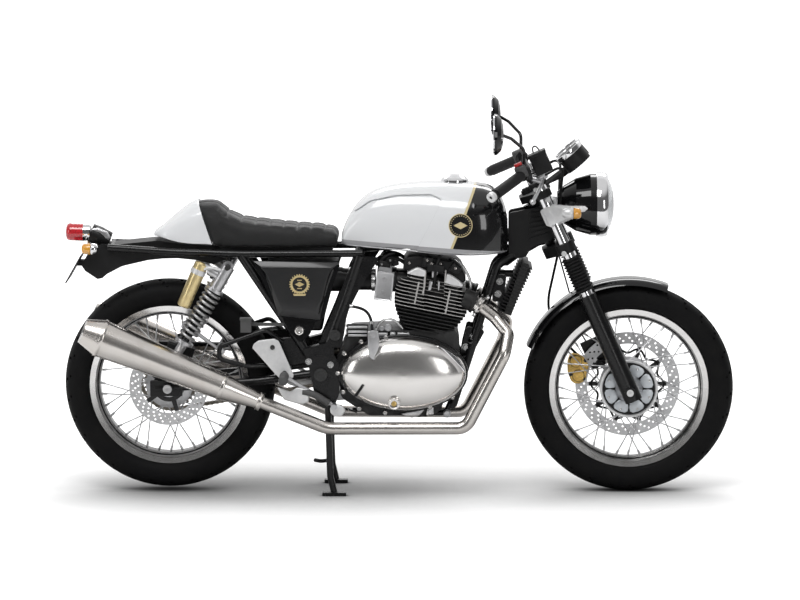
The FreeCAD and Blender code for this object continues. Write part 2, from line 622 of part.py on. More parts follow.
def tail_parts():
    guard = slab([
        (-951, 679), (-963, 697), (-940, 735), (-905, 760), (-880, 757), (-731, 772), (-660, 762), (-482, 752),
        (-482, 728), (-563, 700), (-609, 712), (-670, 718), (-716, 717), (-761, 712), (-838, 694), (-884, 670),
        (-899, 657), (-914, 654)], -58, 58, [6, 8, 20, 16, 20, 30, 20, 6, 6, 10, 60, 80, 80, 80, 60, 14, 6, 8])
    seat_base = block((-540, -84, 745), (-200, 84, 755))
    loop_room = rod((-872, -90, 752), (-872, 90, 752), 10.0 + seat_gap)
    lamp_body = lathe([(0, -16), (24, -16), (30, 20), (30, 46), (0, 46)], (-894, 0, 772), (-1, 0, 0.36))
    lens_axis = V(-1, 0, 0.03)
    ring = lathe([(22, 0), (27, 0), (27, 23), (22, 23)], (-938, 0, 791), lens_axis)
    lens = lathe([(0, 0), (21, 0), (27, 22), (27, 66), (23, 73), (0, 73)], (-939, 0, 790), lens_axis)
    arm = rod((-915, 60.5, 738), (-925, 96, 752), 6.0)
    lamp = lathe([(0, 0), (10, 0), (15, 8), (16, 30), (10, 45), (0, 47)], (-908, 102, 754), (-1, 0, 0))
    indicator = arm.fuse(lamp)
    plate = slab([(-963, 729), (-1010, 646), (-1007, 644), (-960, 727)], -90, 90, 1.0)
    bracket = slab([(-958, 706), (-958, 690), (-984, 690), (-974, 706)], -20, 20, 1.0)
    return {
        "rear_mudguard": fused([guard, seat_base, lamp_body.cut(lens)]).cut(loop_room),
        "tail_lamp_lens": lens, "rear_indicators": pair(indicator), "number_plate": plate.fuse(bracket.cut(guard))}


def side_panels(boots):
    outline = [(-439, 719), (-174, 715), (-200, 640), (-224, 548), (-247, 536), (-345, 545), (-362, 556)]
    panel = slab(outline, 126, 139, [10, 10, 200, 16, 14, 14, 14])
    raised = slab([(-418, 706), (-192, 702), (-214, 640), (-236, 558), (-250, 549), (-338, 557), (-350, 566)],
                  137, 146, [8, 8, 200, 12, 10, 10, 10])
    raised = raised.makeChamfer(5, [e for e in raised.Edges if e.BoundBox.YMin > 145.9])
    badge = Part.makeCylinder(9, 4, V(-303, 144, 648), ACROSS)
    lower = slab([(-356, 552), (-246, 545), (-268, 496), (-296, 470), (-326, 500)], 122, 131, 10)
    bolt = Part.makeCylinder(9, 8, V(-300, 129, 503), ACROSS)
    left = fused([panel, raised, badge, lower, bolt])
    airbox = block((-420, -86, 560), (-175, 86, 725)).fuse(block((-300, -64, 470), (-200, 64, 562)))
    return {"side_panels": pair(left), "airbox": fused([airbox] + boots)}


# Engine, intake and exhaust

cylinder_middle = 95.0
case_half = 105.0
deck_height = 505.0


def oval(centre_x, centre_z, half_long, half_high, steps):
    """A solid through ellipses, each given as (distance across, scale)."""
    wires = []
    for across, scale in steps:
        ellipse = Part.Ellipse(V(centre_x, across, centre_z), half_long * scale, half_high * scale)
        ellipse.Axis = ACROSS
        ellipse.XAxis = V(1, 0, 0)
        wires.append(Part.Wire([ellipse.toShape()]))
    return loft(wires)


def engine_parts(output, drive):
    case = slab([(-150, 500), (-60, 505), (176, 505), (184, 455), (170, 390), (128, 264), (104, 245), (-90, 245),
                 (-176, 300), (-186, 420)], -case_half, case_half, [20, 20, 16, 20, 30, 12, 12, 30, 30, 30])
    pocket = slab([(-330, 300), (-330, 450), (-90, 450), (-62, 410), (-62, 330), (-90, 300)], 69, 200,
                  [5, 5, 20, 20, 20, 20])
    case = case.cut(pocket)
    pivot_room = rod((pivot.x, -120, pivot.z), (pivot.x, 120, pivot.z), 40.0)
    case = case.cut(pivot_room)
    starter = rod((-156, -112, 507), (-92, -112, 507), 19.0)
    right = oval(14, 378.7, 189, 111, [(-case_half, 1.0), (-158, 1.0)])
    right_dome = oval(14, 378.7, 189, 111, [(-158, 0.985), (-176, 0.95), (-187, 0.86), (-192, 0.74)])
    filler = rod((-15, -186, 302), (-15, -196, 302), 16.0)
    right = fused([right, right_dome, filler])
    left = oval(66, 380, 128, 104, [(case_half, 1.0), (140, 1.0)])
    left_dome = oval(66, 380, 128, 104, [(140, 0.97), (156, 0.9), (164, 0.78)])
    left = fused([left, left_dome])
    cover = slab([(-196, 312), (-190, 430), (-130, 448), (-63, 442), (-63, 306), (-90, 302), (-160, 302)], 60, 126,
                 [14, 20, 20, 12, 12, 20, 14])
    hollow = slab([(-330, 290), (-330, 428), (-140, 436), (-71, 430), (-71, 320), (-92, 310), (-160, 290)], 50, 104,
                  [5, 5, 14, 10, 10, 10, 20])
    sprocket_cover = cover.cut(hollow).cut(case)
    shaft = rod((output.x, 60, output.z), (output.x, 100, output.z), 12.0)
    fins, count, fin = [], 13, 3.2
    for k in range(count):
        share = k / (count - 1)
        z = deck_height + 8 + share * (620 - deck_height - 8)
        low_x, high_x = 4 - 21 * share, 179 + 36 * share
        half = 104 + 16 * share
        wire = rounded([(low_x, -half, z), (high_x, -half, z), (high_x, half, z), (low_x, half, z)], 30)
        fins.append(Part.Face(wire).extrude(UP * fin))
    core = Part.Face(rounded([(22, -90, deck_height), (164, -90, deck_height), (164, 90, deck_height),
                              (22, 90, deck_height)], 24)).extrude(UP * (627 - deck_height))
    barrel = fused([core] + fins).cut(case)
    head_fins, head_count = [], 7
    for k in range(head_count):
        share = k / (head_count - 1)
        z = 627 + share * 56
        low_x, high_x = -20 + 12 * share, 216 + 12 * share
        wire = rounded([(low_x, -124, z), (high_x, -124, z), (high_x, 124, z), (low_x, 124, z)], 34)
        head_fins.append(Part.Face(wire).extrude(UP * fin))
    head_core = Part.Face(rounded([(4, -106, 627), (200, -106, 627), (200, 106, 627), (4, 106, 627)],
                                  30)).extrude(UP * 62)
    ports = []
    for side in (-1, 1):
        towards = V(236, side * 100, 588) - V(180, side * 96, 640)
        ports.append(rod((180, side * 96, 640), V(180, side * 96, 640) + towards * 0.95, 22.0))
        ports.append(rod((40, side * 56, 648), (-22 + seat_gap, side * 56, 648), 25.0))
    head = fused([head_core] + head_fins + ports).cut(barrel)
    rocker = slab([(8, 689), (14, 708), (60, 724), (165, 724), (206, 704), (212, 689)], -98, 98,
                  [3, 12, 20, 20, 12, 3])
    throttles, boots = [], []
    for side in (-1, 1):
        body = slab([(-61, 697), (-22, 692), (-22, 600), (-70, 604)], side * 56 - 30, side * 56 + 30, 6)
        throttles.append(body)
        boots.append(rod((-70 - seat_gap, side * 56, 648), (-180, side * 56, 648), 27.0))
    return {
        "crankcase": fused([case, starter, shaft, drive]), "right_engine_cover": right,
        "left_engine_covers": gathered([left, sprocket_cover.cut(shaft)]),
        "cylinder_barrel": barrel, "cylinder_head": head, "rocker_cover": rocker,
        "throttle_bodies": gathered(throttles)}, boots


cooler_top = V(384, 0, 708)
cooler_bottom = V(329, 0, 552)


def oil_cooler():
    down = (cooler_bottom - cooler_top).normalize()
    back = V(down.z, 0, -down.x)
    outline = [cooler_top + back * 11, cooler_top - back * 11, cooler_bottom - back * 11, cooler_bottom + back * 11]
    body = slab([(p.x, p.z) for p in outline], -92, 92, 3)
    hangers = [block((300, -40, 660), (362, -34, 672)), block((300, 34, 660), (362, 40, 672))]
    return {"oil_cooler": fused([body] + hangers)}


header_across = 160.0
header_radius = 19.0
muffler_across = 200.0


def exhaust_parts():
    port = V(236, 100, 588)
    bend = V(290, 106, 545)
    muffler_start = V(-412, 178, 296)
    muffler_tip = V(-948, muffler_across, 516)
    along = (muffler_tip - muffler_start).normalize()
    length = (muffler_tip - muffler_start).Length
    run_height = 215.0
    kick = muffler_start - along * ((muffler_start.z - run_height) / along.z)
    pipe = tube([port, bend, (330, 130, 500), (318, header_across, 440), (203, header_across, run_height), kick,
                 muffler_start + along * 16], header_radius, [26, 26, 50, 44, 120])
    collar = rod(port, port + (bend - port) * 0.2, 26.0)
    inlet, wall = header_radius + seat_gap, 3.0
    muffler = lathe([
        (inlet, 0), (inlet + wall, 0), (41, 131), (57, length - 56), (37, length), (30, length), (30, length - 60),
        (0, length - 60), (0, 20), (inlet, 20)], muffler_start, along)
    return {"headers": pair(fused([pipe, collar])), "mufflers": pair(muffler)}


def footrests():
    plate = slab([(-441, 457), (-424, 478), (-375, 484), (-357, 466), (-318, 375), (-327, 363), (-357, 363),
                  (-372, 378)], 136, 143, 10)
    peg = rod((-345, 140, 372), (-345, 250, 372), 11.0)
    knee = V(-300, 152, 345)
    lever = fused([rod((-345, 152, 372), knee, 6.0), Part.makeSphere(6.0, knee), rod(knee, (-195, 152, 282), 6.0)])
    pad = rod((-195, 143, 282), (-195, 185, 282), 9.0)
    return {"footrests": pair(fused([plate, peg, lever, pad]))}


hose_radius = 4.0
lead_radius = 2.5


def hoses(neighbours):
    """Brake and clutch lines from the bars to the lower yoke, and the brake hose and sensor lead below it."""
    runs = [tube([(434, 186, 966), (494, 150, 1012), (486, 62, 905), (487, 62, 766)], hose_radius, [36, 120]),
            tube([(436, -189, 985), (494, -150, 1014), (486, -62, 905), (487, -62, 766)], hose_radius, [36, 120]),
            tube([(488, 66, 737), (440, 84, 510), (548, 58, 405)], hose_radius, 170),
            tube([(482, 80, 732), (556, 90, 470), (632, 92, 352), (690, 92, 324)], lead_radius, [160, 60])]
    for neighbour in neighbours:
        runs = [run.cut(neighbour) for run in runs]
    return {"hoses": gathered([max(run.Solids, key=lambda piece: piece.Volume) for run in runs])}


# Stands

def centre_stand():
    leg = tube([(stand_pivot.x, 113, stand_pivot.z), (-208, 113, 60), (-196, 113, 10)], 10.0, 60)
    foot = block((-232, 101, 0), (-160, 125, 10))
    boss = rod((stand_pivot.x, 101, stand_pivot.z), (stand_pivot.x, 125, stand_pivot.z), 15.0)
    brace = rod((-211, -113, 185), (-211, 113, 185), 9.0)
    tang = tube([(-208, 113, 70), (-244, 116, 66), (-262, 134, 66)], 6.0, 14)
    stand = fused([leg, mirrored(leg), foot, mirrored(foot), boss, mirrored(boss), brace, tang])
    bore = rod((stand_pivot.x, -140, stand_pivot.z), (stand_pivot.x, 140, stand_pivot.z), 8.0 + running_gap)
    return stand.cut(bore)


side_pivot = V(60, 112, 228)
side_axis = V(0.0, 0.94, 0.34)


def side_stand_parts():
    bracket = block((36, 66, 214), (84, 98, 244))
    pin_dir = V(side_axis).normalize()
    pin = rod(side_pivot - pin_dir * 22, side_pivot + pin_dir * 9, 6.0)
    lug = rod(side_pivot - pin_dir * 22, side_pivot - pin_dir * 9, 14.0)
    bracket = fused([bracket, lug, pin])
    eye = rod(side_pivot - pin_dir * 8, side_pivot + pin_dir * 8, 13.0)
    end = side_pivot + V(-205, 0, 0)
    leg = rod(side_pivot + V(-6, 0, 0), end, 7.5)
    foot = Part.makeCylinder(15, 5, end + V(2, 0, 0), V(-0.94, 0, 0.34).cross(ACROSS))
    stand = fused([eye, leg, foot]).cut(rod(side_pivot - pin_dir * 30, side_pivot + pin_dir * 30, 6.0 + running_gap))
    return bracket, stand


# Steering

fork_across = fork_spacing / 2
tube_radius = 20.5
slider_radius = 27.0


def fork_parts():
    x = fork_offset
    tube_top = 722.0
    stanchion = steered(Part.makeCylinder(tube_radius, tube_top - 300, V(x, fork_across, 300)))
    slider = steered(Part.makeCylinder(slider_radius, 352, V(x, fork_across, -30)))
    lug = rod(front_axle + ACROSS * 70, front_axle + ACROSS * 127, 17.0)
    caliper_lug = steered(Part.makeBox(66, 10, 90, V(x - 84, 74, 80)))
    left_slider = fused([slider, lug, caliper_lug])
    right_slider = mirrored(fused([slider, lug]))
    shaft = rod(front_axle - ACROSS * 132, front_axle + ACROSS * 132, axle_radius)
    head = rod(front_axle - ACROSS * 132, front_axle - ACROSS * 127, 14.0)
    ridges = [Part.makeCylinder(24.5, 112, V(x, fork_across, 336))]
    for k in range(11):
        ridges.append(Part.makeCone(24.5, 31, 5, V(x, fork_across, 338 + 10 * k)))
        ridges.append(Part.makeCone(31, 24.5, 5, V(x, fork_across, 343 + 10 * k)))
    gaiter = fused(ridges).cut(Part.makeCylinder(tube_radius + seat_gap, 200, V(x, fork_across, 300)))
    gaiter = steered(gaiter)
    slider_tool = pair(steered(Part.makeCylinder(tube_radius + seat_gap, 100, V(x, fork_across, 300 - seat_gap))))
    strap = steered(Part.makeBox(34, 22, 26, V(x - 17, 60 + seat_gap, 292)))
    sliders = fused([left_slider, right_slider, shaft, head, strap, mirrored(strap)]).cut(slider_tool)
    return {"fork_tubes": pair(stanchion), "fork_gaiters": pair(gaiter).cut(sliders), "fork_sliders": sliders}


def yokes():
    x = fork_offset
    pieces = {}
    for name, low, high, clamp in (("lower_yoke", 464.0, 496.0, 30.0), ("upper_yoke", 646.0, 668.0, 28.0)):
        plate = Part.Face(rounded([(-30, -40, low), (x - 6, -124, low), (x + 26, -118, low), (x + 6, 0, low),
                                   (x + 26, 118, low), (x - 6, 124, low), (-30, 40, low)],
                                  [20, 16, 16, 60, 16, 16, 20])).extrude(UP * (high - low))
        clamps = [Part.makeCylinder(clamp, high - low, V(x, side * fork_across, low)) for side in (-1, 1)]
        bores = [Part.makeCylinder(tube_radius + seat_gap, high - low, V(x, side * fork_across, low))
                 for side in (-1, 1)]
        pieces[name] = fused([plate] + clamps).cut(Part.makeCompound(bores))
    stem = Part.makeCylinder(stem_radius, 205, V(0, 0, 480))
    nut = Part.makeCylinder(19, 12, V(0, 0, 668))
    return {"yokes": steered(fused([pieces["lower_yoke"], pieces["upper_yoke"], stem, nut]))}


grip_end = V(287, 360, 945)
grip_start = V(364, 250, 989.5)


def handlebars():
    clamp = steered(Part.makeCylinder(28, 26, V(fork_offset, fork_across, 684)))
    tube_room = steered(Part.makeCylinder(tube_radius + seat_gap, 60, V(fork_offset, fork_across, 670)))
    root = steered_point(fork_offset - 6, fork_across + 22, 697)
    along = (grip_start - grip_end).normalize()
    bar = tube([grip_end, grip_start + along * 18, root], 11.0, 24)
    grip = rod(grip_end, grip_start, 16.5).cut(rod(grip_end, grip_start, 11.0 + seat_gap))
    end = rod(grip_end - along * 22, grip_end - along * seat_gap, 14.0)
    end_pin = rod(grip_end - along * 4, grip_end + along * 10, 11.0)
    switch_at = grip_start + along * 4
    switch = rod(switch_at, switch_at + along * 26, 20.0)
    left_bar = fused([clamp, bar, end, end_pin, switch]).cut(tube_room)
    reservoir = steered(Part.makeBox(46, 46, 44, V(52, -212, 722)))
    cylinder = tube([steered_point(20, -150, 712), steered_point(74, -190, 716)], 11.0)
    lid = steered(Part.makeBox(52, 52, 8, V(49, -215, 766)))
    brake_body = fused([reservoir, lid, cylinder]).cut(mirrored(left_bar))
    perch = rod((398, 176, 976), (432, 186, 966), 10.0).cut(left_bar)
    lever = tube([(428, 178, 962), (424, 215, 955), (398, 330, 920)], 5.5, 40)
    ball = Part.makeSphere(9, V(398, 330, 920))
    lever = fused([lever, ball])
    stalk = tube([switch_at + along * 13 + V(0, 0, 16), (373, 242, 1068), (335, 290, 1104), (306, 322, 1118)], 5.0,
                 [24, 30])
    shell = lathe([(0, -12), (28, -10), (48, -4), (60, 8), (62, 16), (0, 16)], (300, 334, 1120), (-1, 0, 0))
    mirror = fused([stalk, shell]).cut(left_bar)
    glass = Part.makeCylinder(56, 3, V(284, 334, 1120), V(-1, 0, 0))
    controls = fused([perch, lever]).cut(left_bar).cut(grip)
    right_controls = fused([mirrored(controls), brake_body])
    return {
        "handlebars": pair(left_bar), "grips": pair(grip),
        "hand_controls": gathered([controls, right_controls]), "mirrors": pair(mirror),
        "mirror_glasses": pair(glass.cut(mirror))}


headlamp_centre = V(597, 0, 877)


def headlamp_parts():
    bucket = lathe([(0, 0), (40, 0), (58, 20), (80, 56), (93, 100), (93, 118), (0, 118)], (479, 0, 877), (1, 0, 0))
    ring = lathe([(88, 0), (96, 0), (98, 14), (92, 38), (86, 40), (86, 8)], headlamp_centre, (1, 0, 0)).cut(bucket)
    lens = lathe([(0, 4), (85, 4), (85, 40), (70, 47), (40, 52), (0, 54)], headlamp_centre, (1, 0, 0)).cut(
        fused([bucket, ring]))
    wing = slab([(424, 870), (462, 890), (512, 886), (520, 846), (462, 820), (444, 826)], 112, 120, 6)
    clamp = steered(Part.makeCylinder(27, 34, V(fork_offset, fork_across, 575)))
    tube_room = steered(Part.makeCylinder(tube_radius + seat_gap, 400, V(fork_offset, fork_across, 400)))
    bolt = rod((512, 74, 870), (512, 122, 870), 7.0)
    bracket = fused([wing, clamp, bolt]).cut(bucket).cut(tube_room)
    arm = rod((486, 118, 874), (500, 150, 874), 6.0)
    body = lathe([(0, 0), (11, 0), (17, 14), (18, 44), (12, 60), (0, 62)], (472, 166, 873), (1, 0, 0))
    indicator = arm.fuse(body).cut(bracket)
    pods, rims = [], []
    face = V(509.7, 0, 1044.7)
    normal = V(-0.654, 0, 0.756).normalize()
    for side in (-1, 1):
        centre = face + ACROSS * side * 48
        pods.append(rod(centre - normal * 54, centre - normal * 3, 42.0))
        rims.append(rod(centre - normal * 8, centre + normal * 2, 44.0))
    gauge_plate = rod(face - normal * 48, steered_point(fork_offset + 6, 0, 664), 13.0)
    yoke_room = steered(Part.makeBox(200, 200, 100, V(-60, -100, 568 + seat_gap)))
    gauges = fused(pods + rims + [gauge_plate]).cut(yoke_room)
    return {
        "headlamp_bucket": bucket, "headlamp_ring": ring, "headlamp_lens": lens,
        "headlamp_brackets": pair(bracket), "front_indicators": pair(indicator), "gauges": gauges}


def front_mudguard():
    outer = Part.BSplineCurve()
    outer.interpolate([V(318, -60, 0), V(330, -50, 0), V(337, 0, 0), V(330, 50, 0), V(318, 60, 0)])
    inner = Part.BSplineCurve()
    inner.interpolate([V(318, 57, 0), V(327, 47, 0), V(334, 0, 0), V(327, -47, 0), V(318, -57, 0)])
    edges = [outer.toShape(), Part.LineSegment(V(318, 60, 0), V(318, 57, 0)).toShape(), inner.toShape(),
             Part.LineSegment(V(318, -57, 0), V(318, -60, 0)).toShape()]
    guard = Part.Solid(Part.Face(Part.Wire(edges)).revolve(V(0, 0, 0), ACROSS, 88))
    guard.rotate(V(0, 0, 0), ACROSS, -157.4)
    guard.translate(front_axle)
    return {"front_mudguard": guard}


def front_brake():
    radial = V(-151.5, 0, 48.4).normalize()
    tangent = V(radial.z, 0, -radial.x)
    centre = front_axle + radial * 142
    thickness = 38.0 - seat_gap
    box = Part.makeBox(66, thickness, 104, V(-33, 36, -52))
    box = box.makeFillet(9, [e for e in box.Edges if abs(e.Length - thickness) > 1])
    box.Placement = FreeCAD.Placement(V(centre.x, 0, centre.z), FreeCAD.Rotation(radial, ACROSS, tangent * -1, "XYZ"))
    slot = Part.makeCylinder(166, 14, front_axle + ACROSS * (front_disc_across - 4.5), ACROSS)
    return {"front_caliper": box.cut(slot)}


def main():
    os.makedirs("parts", exist_ok=True)
    nodes = {}
    nodes.update(front_wheel_parts())
    nodes.update(rear_wheel_parts())
    nodes.update(frame_parts())
    nodes.update(rear_suspension())
    nodes["chain"], output, drive = chain()
    nodes.update(tank_parts())
    nodes.update(seat_parts())
    nodes.update(tail_parts())
    engine, boots = engine_parts(output, drive)
    nodes.update(engine)
    nodes.update(side_panels(boots))
    nodes.update(oil_cooler())
    nodes.update(exhaust_parts())
    nodes.update(footrests())
    nodes["centre_stand"] = centre_stand()
    _, nodes["side_stand"] = side_stand_parts()
    nodes.update(fork_parts())
    nodes.update(yokes())
    nodes.update(handlebars())
    nodes.update(headlamp_parts())
    nodes.update(front_mudguard())
    nodes.update(front_brake())
    nodes.update(chain_guard(output))
    nodes.update(rear_brake(nodes["frame"]))
    nodes.update(headstock_covers(nodes["frame"]))
    nodes.update(hoses([nodes[name] for name in ("yokes", "front_caliper", "fork_sliders", "hand_controls",
                                                 "handlebars")]))
    for name, shape in nodes.items():
        solids = shape.Solids
        box = shape.BoundBox
        print(name, len(solids), all(s.isValid() for s in solids), round(shape.Volume / 1000, 1),
              [round(v) for v in (box.XMin, box.XMax, box.YMin, box.YMax, box.ZMin, box.ZMax)])
        Part.makeCompound(solids).exportStep("parts/" + name + ".step")


main()
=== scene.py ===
import bpy
import math
from mathutils import Matrix, Vector


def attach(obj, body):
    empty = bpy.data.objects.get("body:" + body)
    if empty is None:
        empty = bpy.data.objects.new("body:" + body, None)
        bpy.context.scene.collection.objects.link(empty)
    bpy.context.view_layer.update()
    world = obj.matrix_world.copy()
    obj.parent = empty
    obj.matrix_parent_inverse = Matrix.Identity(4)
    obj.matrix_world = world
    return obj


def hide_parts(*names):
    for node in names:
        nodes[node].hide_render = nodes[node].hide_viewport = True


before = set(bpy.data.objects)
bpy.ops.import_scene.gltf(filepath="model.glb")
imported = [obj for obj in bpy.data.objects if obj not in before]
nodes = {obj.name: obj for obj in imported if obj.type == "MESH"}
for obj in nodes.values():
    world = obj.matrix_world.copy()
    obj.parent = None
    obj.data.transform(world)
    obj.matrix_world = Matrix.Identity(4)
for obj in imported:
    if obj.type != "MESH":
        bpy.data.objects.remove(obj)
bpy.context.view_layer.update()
print("frame loaded:", len(nodes), "nodes")


def deselectAll():
    if bpy.context.object and bpy.context.object.mode != "OBJECT":
        bpy.ops.object.mode_set(mode="OBJECT")
    bpy.ops.object.select_all(action="DESELECT")


def makeActive(piece):
    deselectAll()
    piece.select_set(True)
    bpy.context.view_layer.objects.active = piece


def applyPlace(piece):
    makeActive(piece)
    bpy.ops.object.transform_apply(location=True, rotation=True, scale=True)


def applyModifier(piece, kind, **settings):
    makeActive(piece)
    modifier = piece.modifiers.new(kind.title(), kind)
    for key, value in settings.items():
        setattr(modifier, key, value)
    bpy.ops.object.modifier_apply(modifier=modifier.name)


def fitted(piece, name, body, finish, smoothAngle=35):
    applyPlace(piece)
    bpy.ops.object.shade_smooth_by_angle(angle=math.radians(smoothAngle))
    piece.name = name
    piece.data.name = name
    piece.data.materials.clear()
    piece.data.materials.append(finishes[finish])
    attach(piece, body)


def joinPieces(parts):
    deselectAll()
    for part in parts:
        part.select_set(True)
    bpy.context.view_layer.objects.active = parts[0]
    bpy.ops.object.join()
    return bpy.context.object


def facesOutwards(piece):
    makeActive(piece)
    bpy.ops.object.mode_set(mode="EDIT")
    bpy.ops.mesh.select_all(action="SELECT")
    bpy.ops.mesh.normals_make_consistent(inside=False)
    bpy.ops.object.mode_set(mode="OBJECT")
    return piece


def onBothSides(piece):
    return facesOutwards(copiesJoined(piece, [Matrix.Identity(4), Matrix.Scale(-1, 4, (0, 1, 0))]))


def copiesJoined(piece, matrices):
    copies = []
    for matrix in matrices:
        copy = piece.copy()
        copy.data = piece.data.copy()
        copy.data.transform(matrix)
        bpy.context.scene.collection.objects.link(copy)
        copies.append(copy)
    bpy.data.objects.remove(piece)
    return joinPieces(copies)


def tubeAlong(points, radius, closed=False, resolution=3):
    curve = bpy.data.curves.new("tube", "CURVE")
    curve.dimensions = "3D"
    curve.bevel_depth = radius
    curve.bevel_resolution = resolution
    curve.use_fill_caps = True
    spline = curve.splines.new("NURBS")
    spline.points.add(len(points) - 1)
    for point, place in zip(spline.points, points):
        point.co = (*place, 1)
    spline.order_u = 3
    spline.use_endpoint_u = not closed
    spline.use_cyclic_u = closed
    spline.resolution_u = 8
    piece = bpy.data.objects.new("tube", curve)
    bpy.context.scene.collection.objects.link(piece)
    makeActive(piece)
    bpy.ops.object.convert(target="MESH")
    return bpy.context.object


def addNode(tree, kind, values=None, **settings):
    node = tree.nodes.new("ShaderNode" + kind)
    for key, value in settings.items():
        setattr(node, key, value)
    for key, value in (values or {}).items():
        node.inputs[key].default_value = value
    return node


def mathNode(tree, operation, a, b=None):
    node = addNode(tree, "Math", operation=operation)
    for socket, value in zip(node.inputs, (a, b)):
        if value is None:
            continue
        if isinstance(value, (int, float)):
            socket.default_value = value
        else:
            tree.links.new(value, socket)
    return node.outputs[0]


def fadeNode(tree, source, low, high, first, last):
    node = addNode(tree, "MapRange", {"From Min": low, "From Max": high, "To Min": first, "To Max": last},
                   interpolation_type="SMOOTHSTEP")
    tree.links.new(source, node.inputs["Value"])
    return node.outputs[0]


cameraSettings = {
    "place": (0.1409, -12.2825, 2.2226),
    "target": (0.00235, 0.0, 0.5839),
    "lens": 183.16,
}
lightSettings = {
    "key": {"place": (-1.1, -3.0, 4.4), "size": (3.4, 1.8), "power": 135},
    "fill": {"place": (2.6, -5.2, 1.5), "size": (1.0, 2.6), "power": 34},
    "side": {"place": (-4.6, -3.4, 1.6), "size": (0.8, 2.4), "power": 28},
    "back": {"place": (0.2, 3.4, 3.6), "size": (3.6, 1.4), "power": 80},
    "frontLevel": 0.12, "backLevel": 0.9, "topLevel": 0.7,
}
floorSettings = {"near": 1.3, "far": 5.5, "nearGlow": 0.5, "farGlow": 0.95, "frontEdge": -2.6, "reach": 45.0,
                 "shadeReach": 0.55, "shadePower": 1.7, "tone": 0.8}


def aimAt(thing, target):
    thing.rotation_mode = "QUATERNION"
    thing.rotation_quaternion = (Vector(target) - thing.location).to_track_quat("-Z", "Y")


def buildStage():
    cameraData = bpy.data.cameras.new("camera")
    cameraData.lens = cameraSettings["lens"]
    cameraData.sensor_width = 36
    cameraData.clip_end = 100
    camera = bpy.data.objects.new("camera", cameraData)
    bpy.context.scene.collection.objects.link(camera)
    camera.location = cameraSettings["place"]
    aimAt(camera, cameraSettings["target"])
    bpy.context.scene.camera = camera
    for name in ("key", "fill", "side", "back"):
        values = lightSettings[name]
        light = bpy.data.lights.new(name, "AREA")
        light.shape = "RECTANGLE"
        light.size, light.size_y = values["size"]
        light.energy = values["power"]
        lamp = bpy.data.objects.new(name, light)
        bpy.context.scene.collection.objects.link(lamp)
        lamp.location = values["place"]
        aimAt(lamp, (0, 0, 0.5))
    bpy.context.scene.view_settings.view_transform = "Standard"


def buildWorld():
    # the studio: a white wall behind, a dim room in front, a bright ceiling
    world = bpy.data.worlds.new("studio")
    bpy.context.scene.world = world
    world.use_nodes = True
    tree = world.node_tree
    tree.nodes.clear()
    link = tree.links.new
    split = addNode(tree, "SeparateXYZ")
    link(addNode(tree, "TexCoord").outputs["Generated"], split.inputs[0])
    walls = fadeNode(tree, split.outputs["Y"], -0.15, 0.55, lightSettings["frontLevel"],
                     lightSettings["backLevel"])
    ceiling = fadeNode(tree, split.outputs["Z"], 0.35, 0.85, 0.0, lightSettings["topLevel"])
    studio = addNode(tree, "Background")
    link(mathNode(tree, "MAXIMUM", walls, ceiling), studio.inputs["Color"])
    white = addNode(tree, "Background", {"Color": (1, 1, 1, 1)})
    mix = addNode(tree, "MixShader")
    link(addNode(tree, "LightPath").outputs["Is Camera Ray"], mix.inputs[0])
    link(studio.outputs[0], mix.inputs[1])
    link(white.outputs[0], mix.inputs[2])
    link(mix.outputs[0], addNode(tree, "OutputWorld").inputs[0])


def buildFloor():
    deselectAll()
    settings = floorSettings
    reach = settings["reach"]
    bpy.ops.mesh.primitive_plane_add(size=1, location=(0, settings["frontEdge"] + reach / 2, -0.0005))
    floor = bpy.context.object
    floor.scale = (reach, reach, 1)
    floor.name = "floor"
    applyPlace(floor)
    material = bpy.data.materials.new("paleFloor")
    material.use_nodes = True
    tree = material.node_tree
    tree.nodes.clear()
    link = tree.links.new
    # painted shadow: the floor darkens softly where the object stands close over it, its colour and its camera glow
    # both dimmed by ambient occlusion
    shade = addNode(tree, "AmbientOcclusion", {"Distance": settings["shadeReach"]}, samples=24)
    deepened = mathNode(tree, "POWER", shade.outputs["AO"], settings["shadePower"])
    diffuse = addNode(tree, "BsdfDiffuse")
    link(mathNode(tree, "MULTIPLY", deepened, settings["tone"]), diffuse.inputs["Color"])
    # far from the object the lamps fade, so the floor's own white takes over for the camera
    away = addNode(tree, "VectorMath", operation="LENGTH")
    link(addNode(tree, "TexCoord").outputs["Object"], away.inputs[0])
    level = fadeNode(tree, away.outputs["Value"], settings["near"], settings["far"], settings["nearGlow"],
                     settings["farGlow"])
    glow = addNode(tree, "Emission")
    link(mathNode(tree, "MULTIPLY", level, deepened), glow.inputs["Strength"])
    dark = addNode(tree, "Emission", {"Strength": 0.0})
    pick = addNode(tree, "MixShader")
    link(addNode(tree, "LightPath").outputs["Is Camera Ray"], pick.inputs[0])
    link(dark.outputs[0], pick.inputs[1])
    link(glow.outputs[0], pick.inputs[2])
    add = addNode(tree, "AddShader")
    link(diffuse.outputs[0], add.inputs[0])
    link(pick.outputs[0], add.inputs[1])
    link(add.outputs[0], addNode(tree, "OutputMaterial").inputs[0])
    floor.data.materials.append(material)


buildStage()
buildWorld()
buildFloor()
print("stage built")


def startGroup(name, inputs, outputs):
    group = bpy.data.node_groups.new(name, "ShaderNodeTree")
    for label, kind, value in inputs:
        socket = group.interface.new_socket(label, in_out="INPUT", socket_type="NodeSocket" + kind)
        socket.default_value = value
    for label, kind in outputs:
        group.interface.new_socket(label, in_out="OUTPUT", socket_type="NodeSocket" + kind)
    first = group.nodes.new("NodeGroupInput")
    last = group.nodes.new("NodeGroupOutput")
    coordinates = group.nodes.new("ShaderNodeTexCoord")
    return group, first, last, coordinates


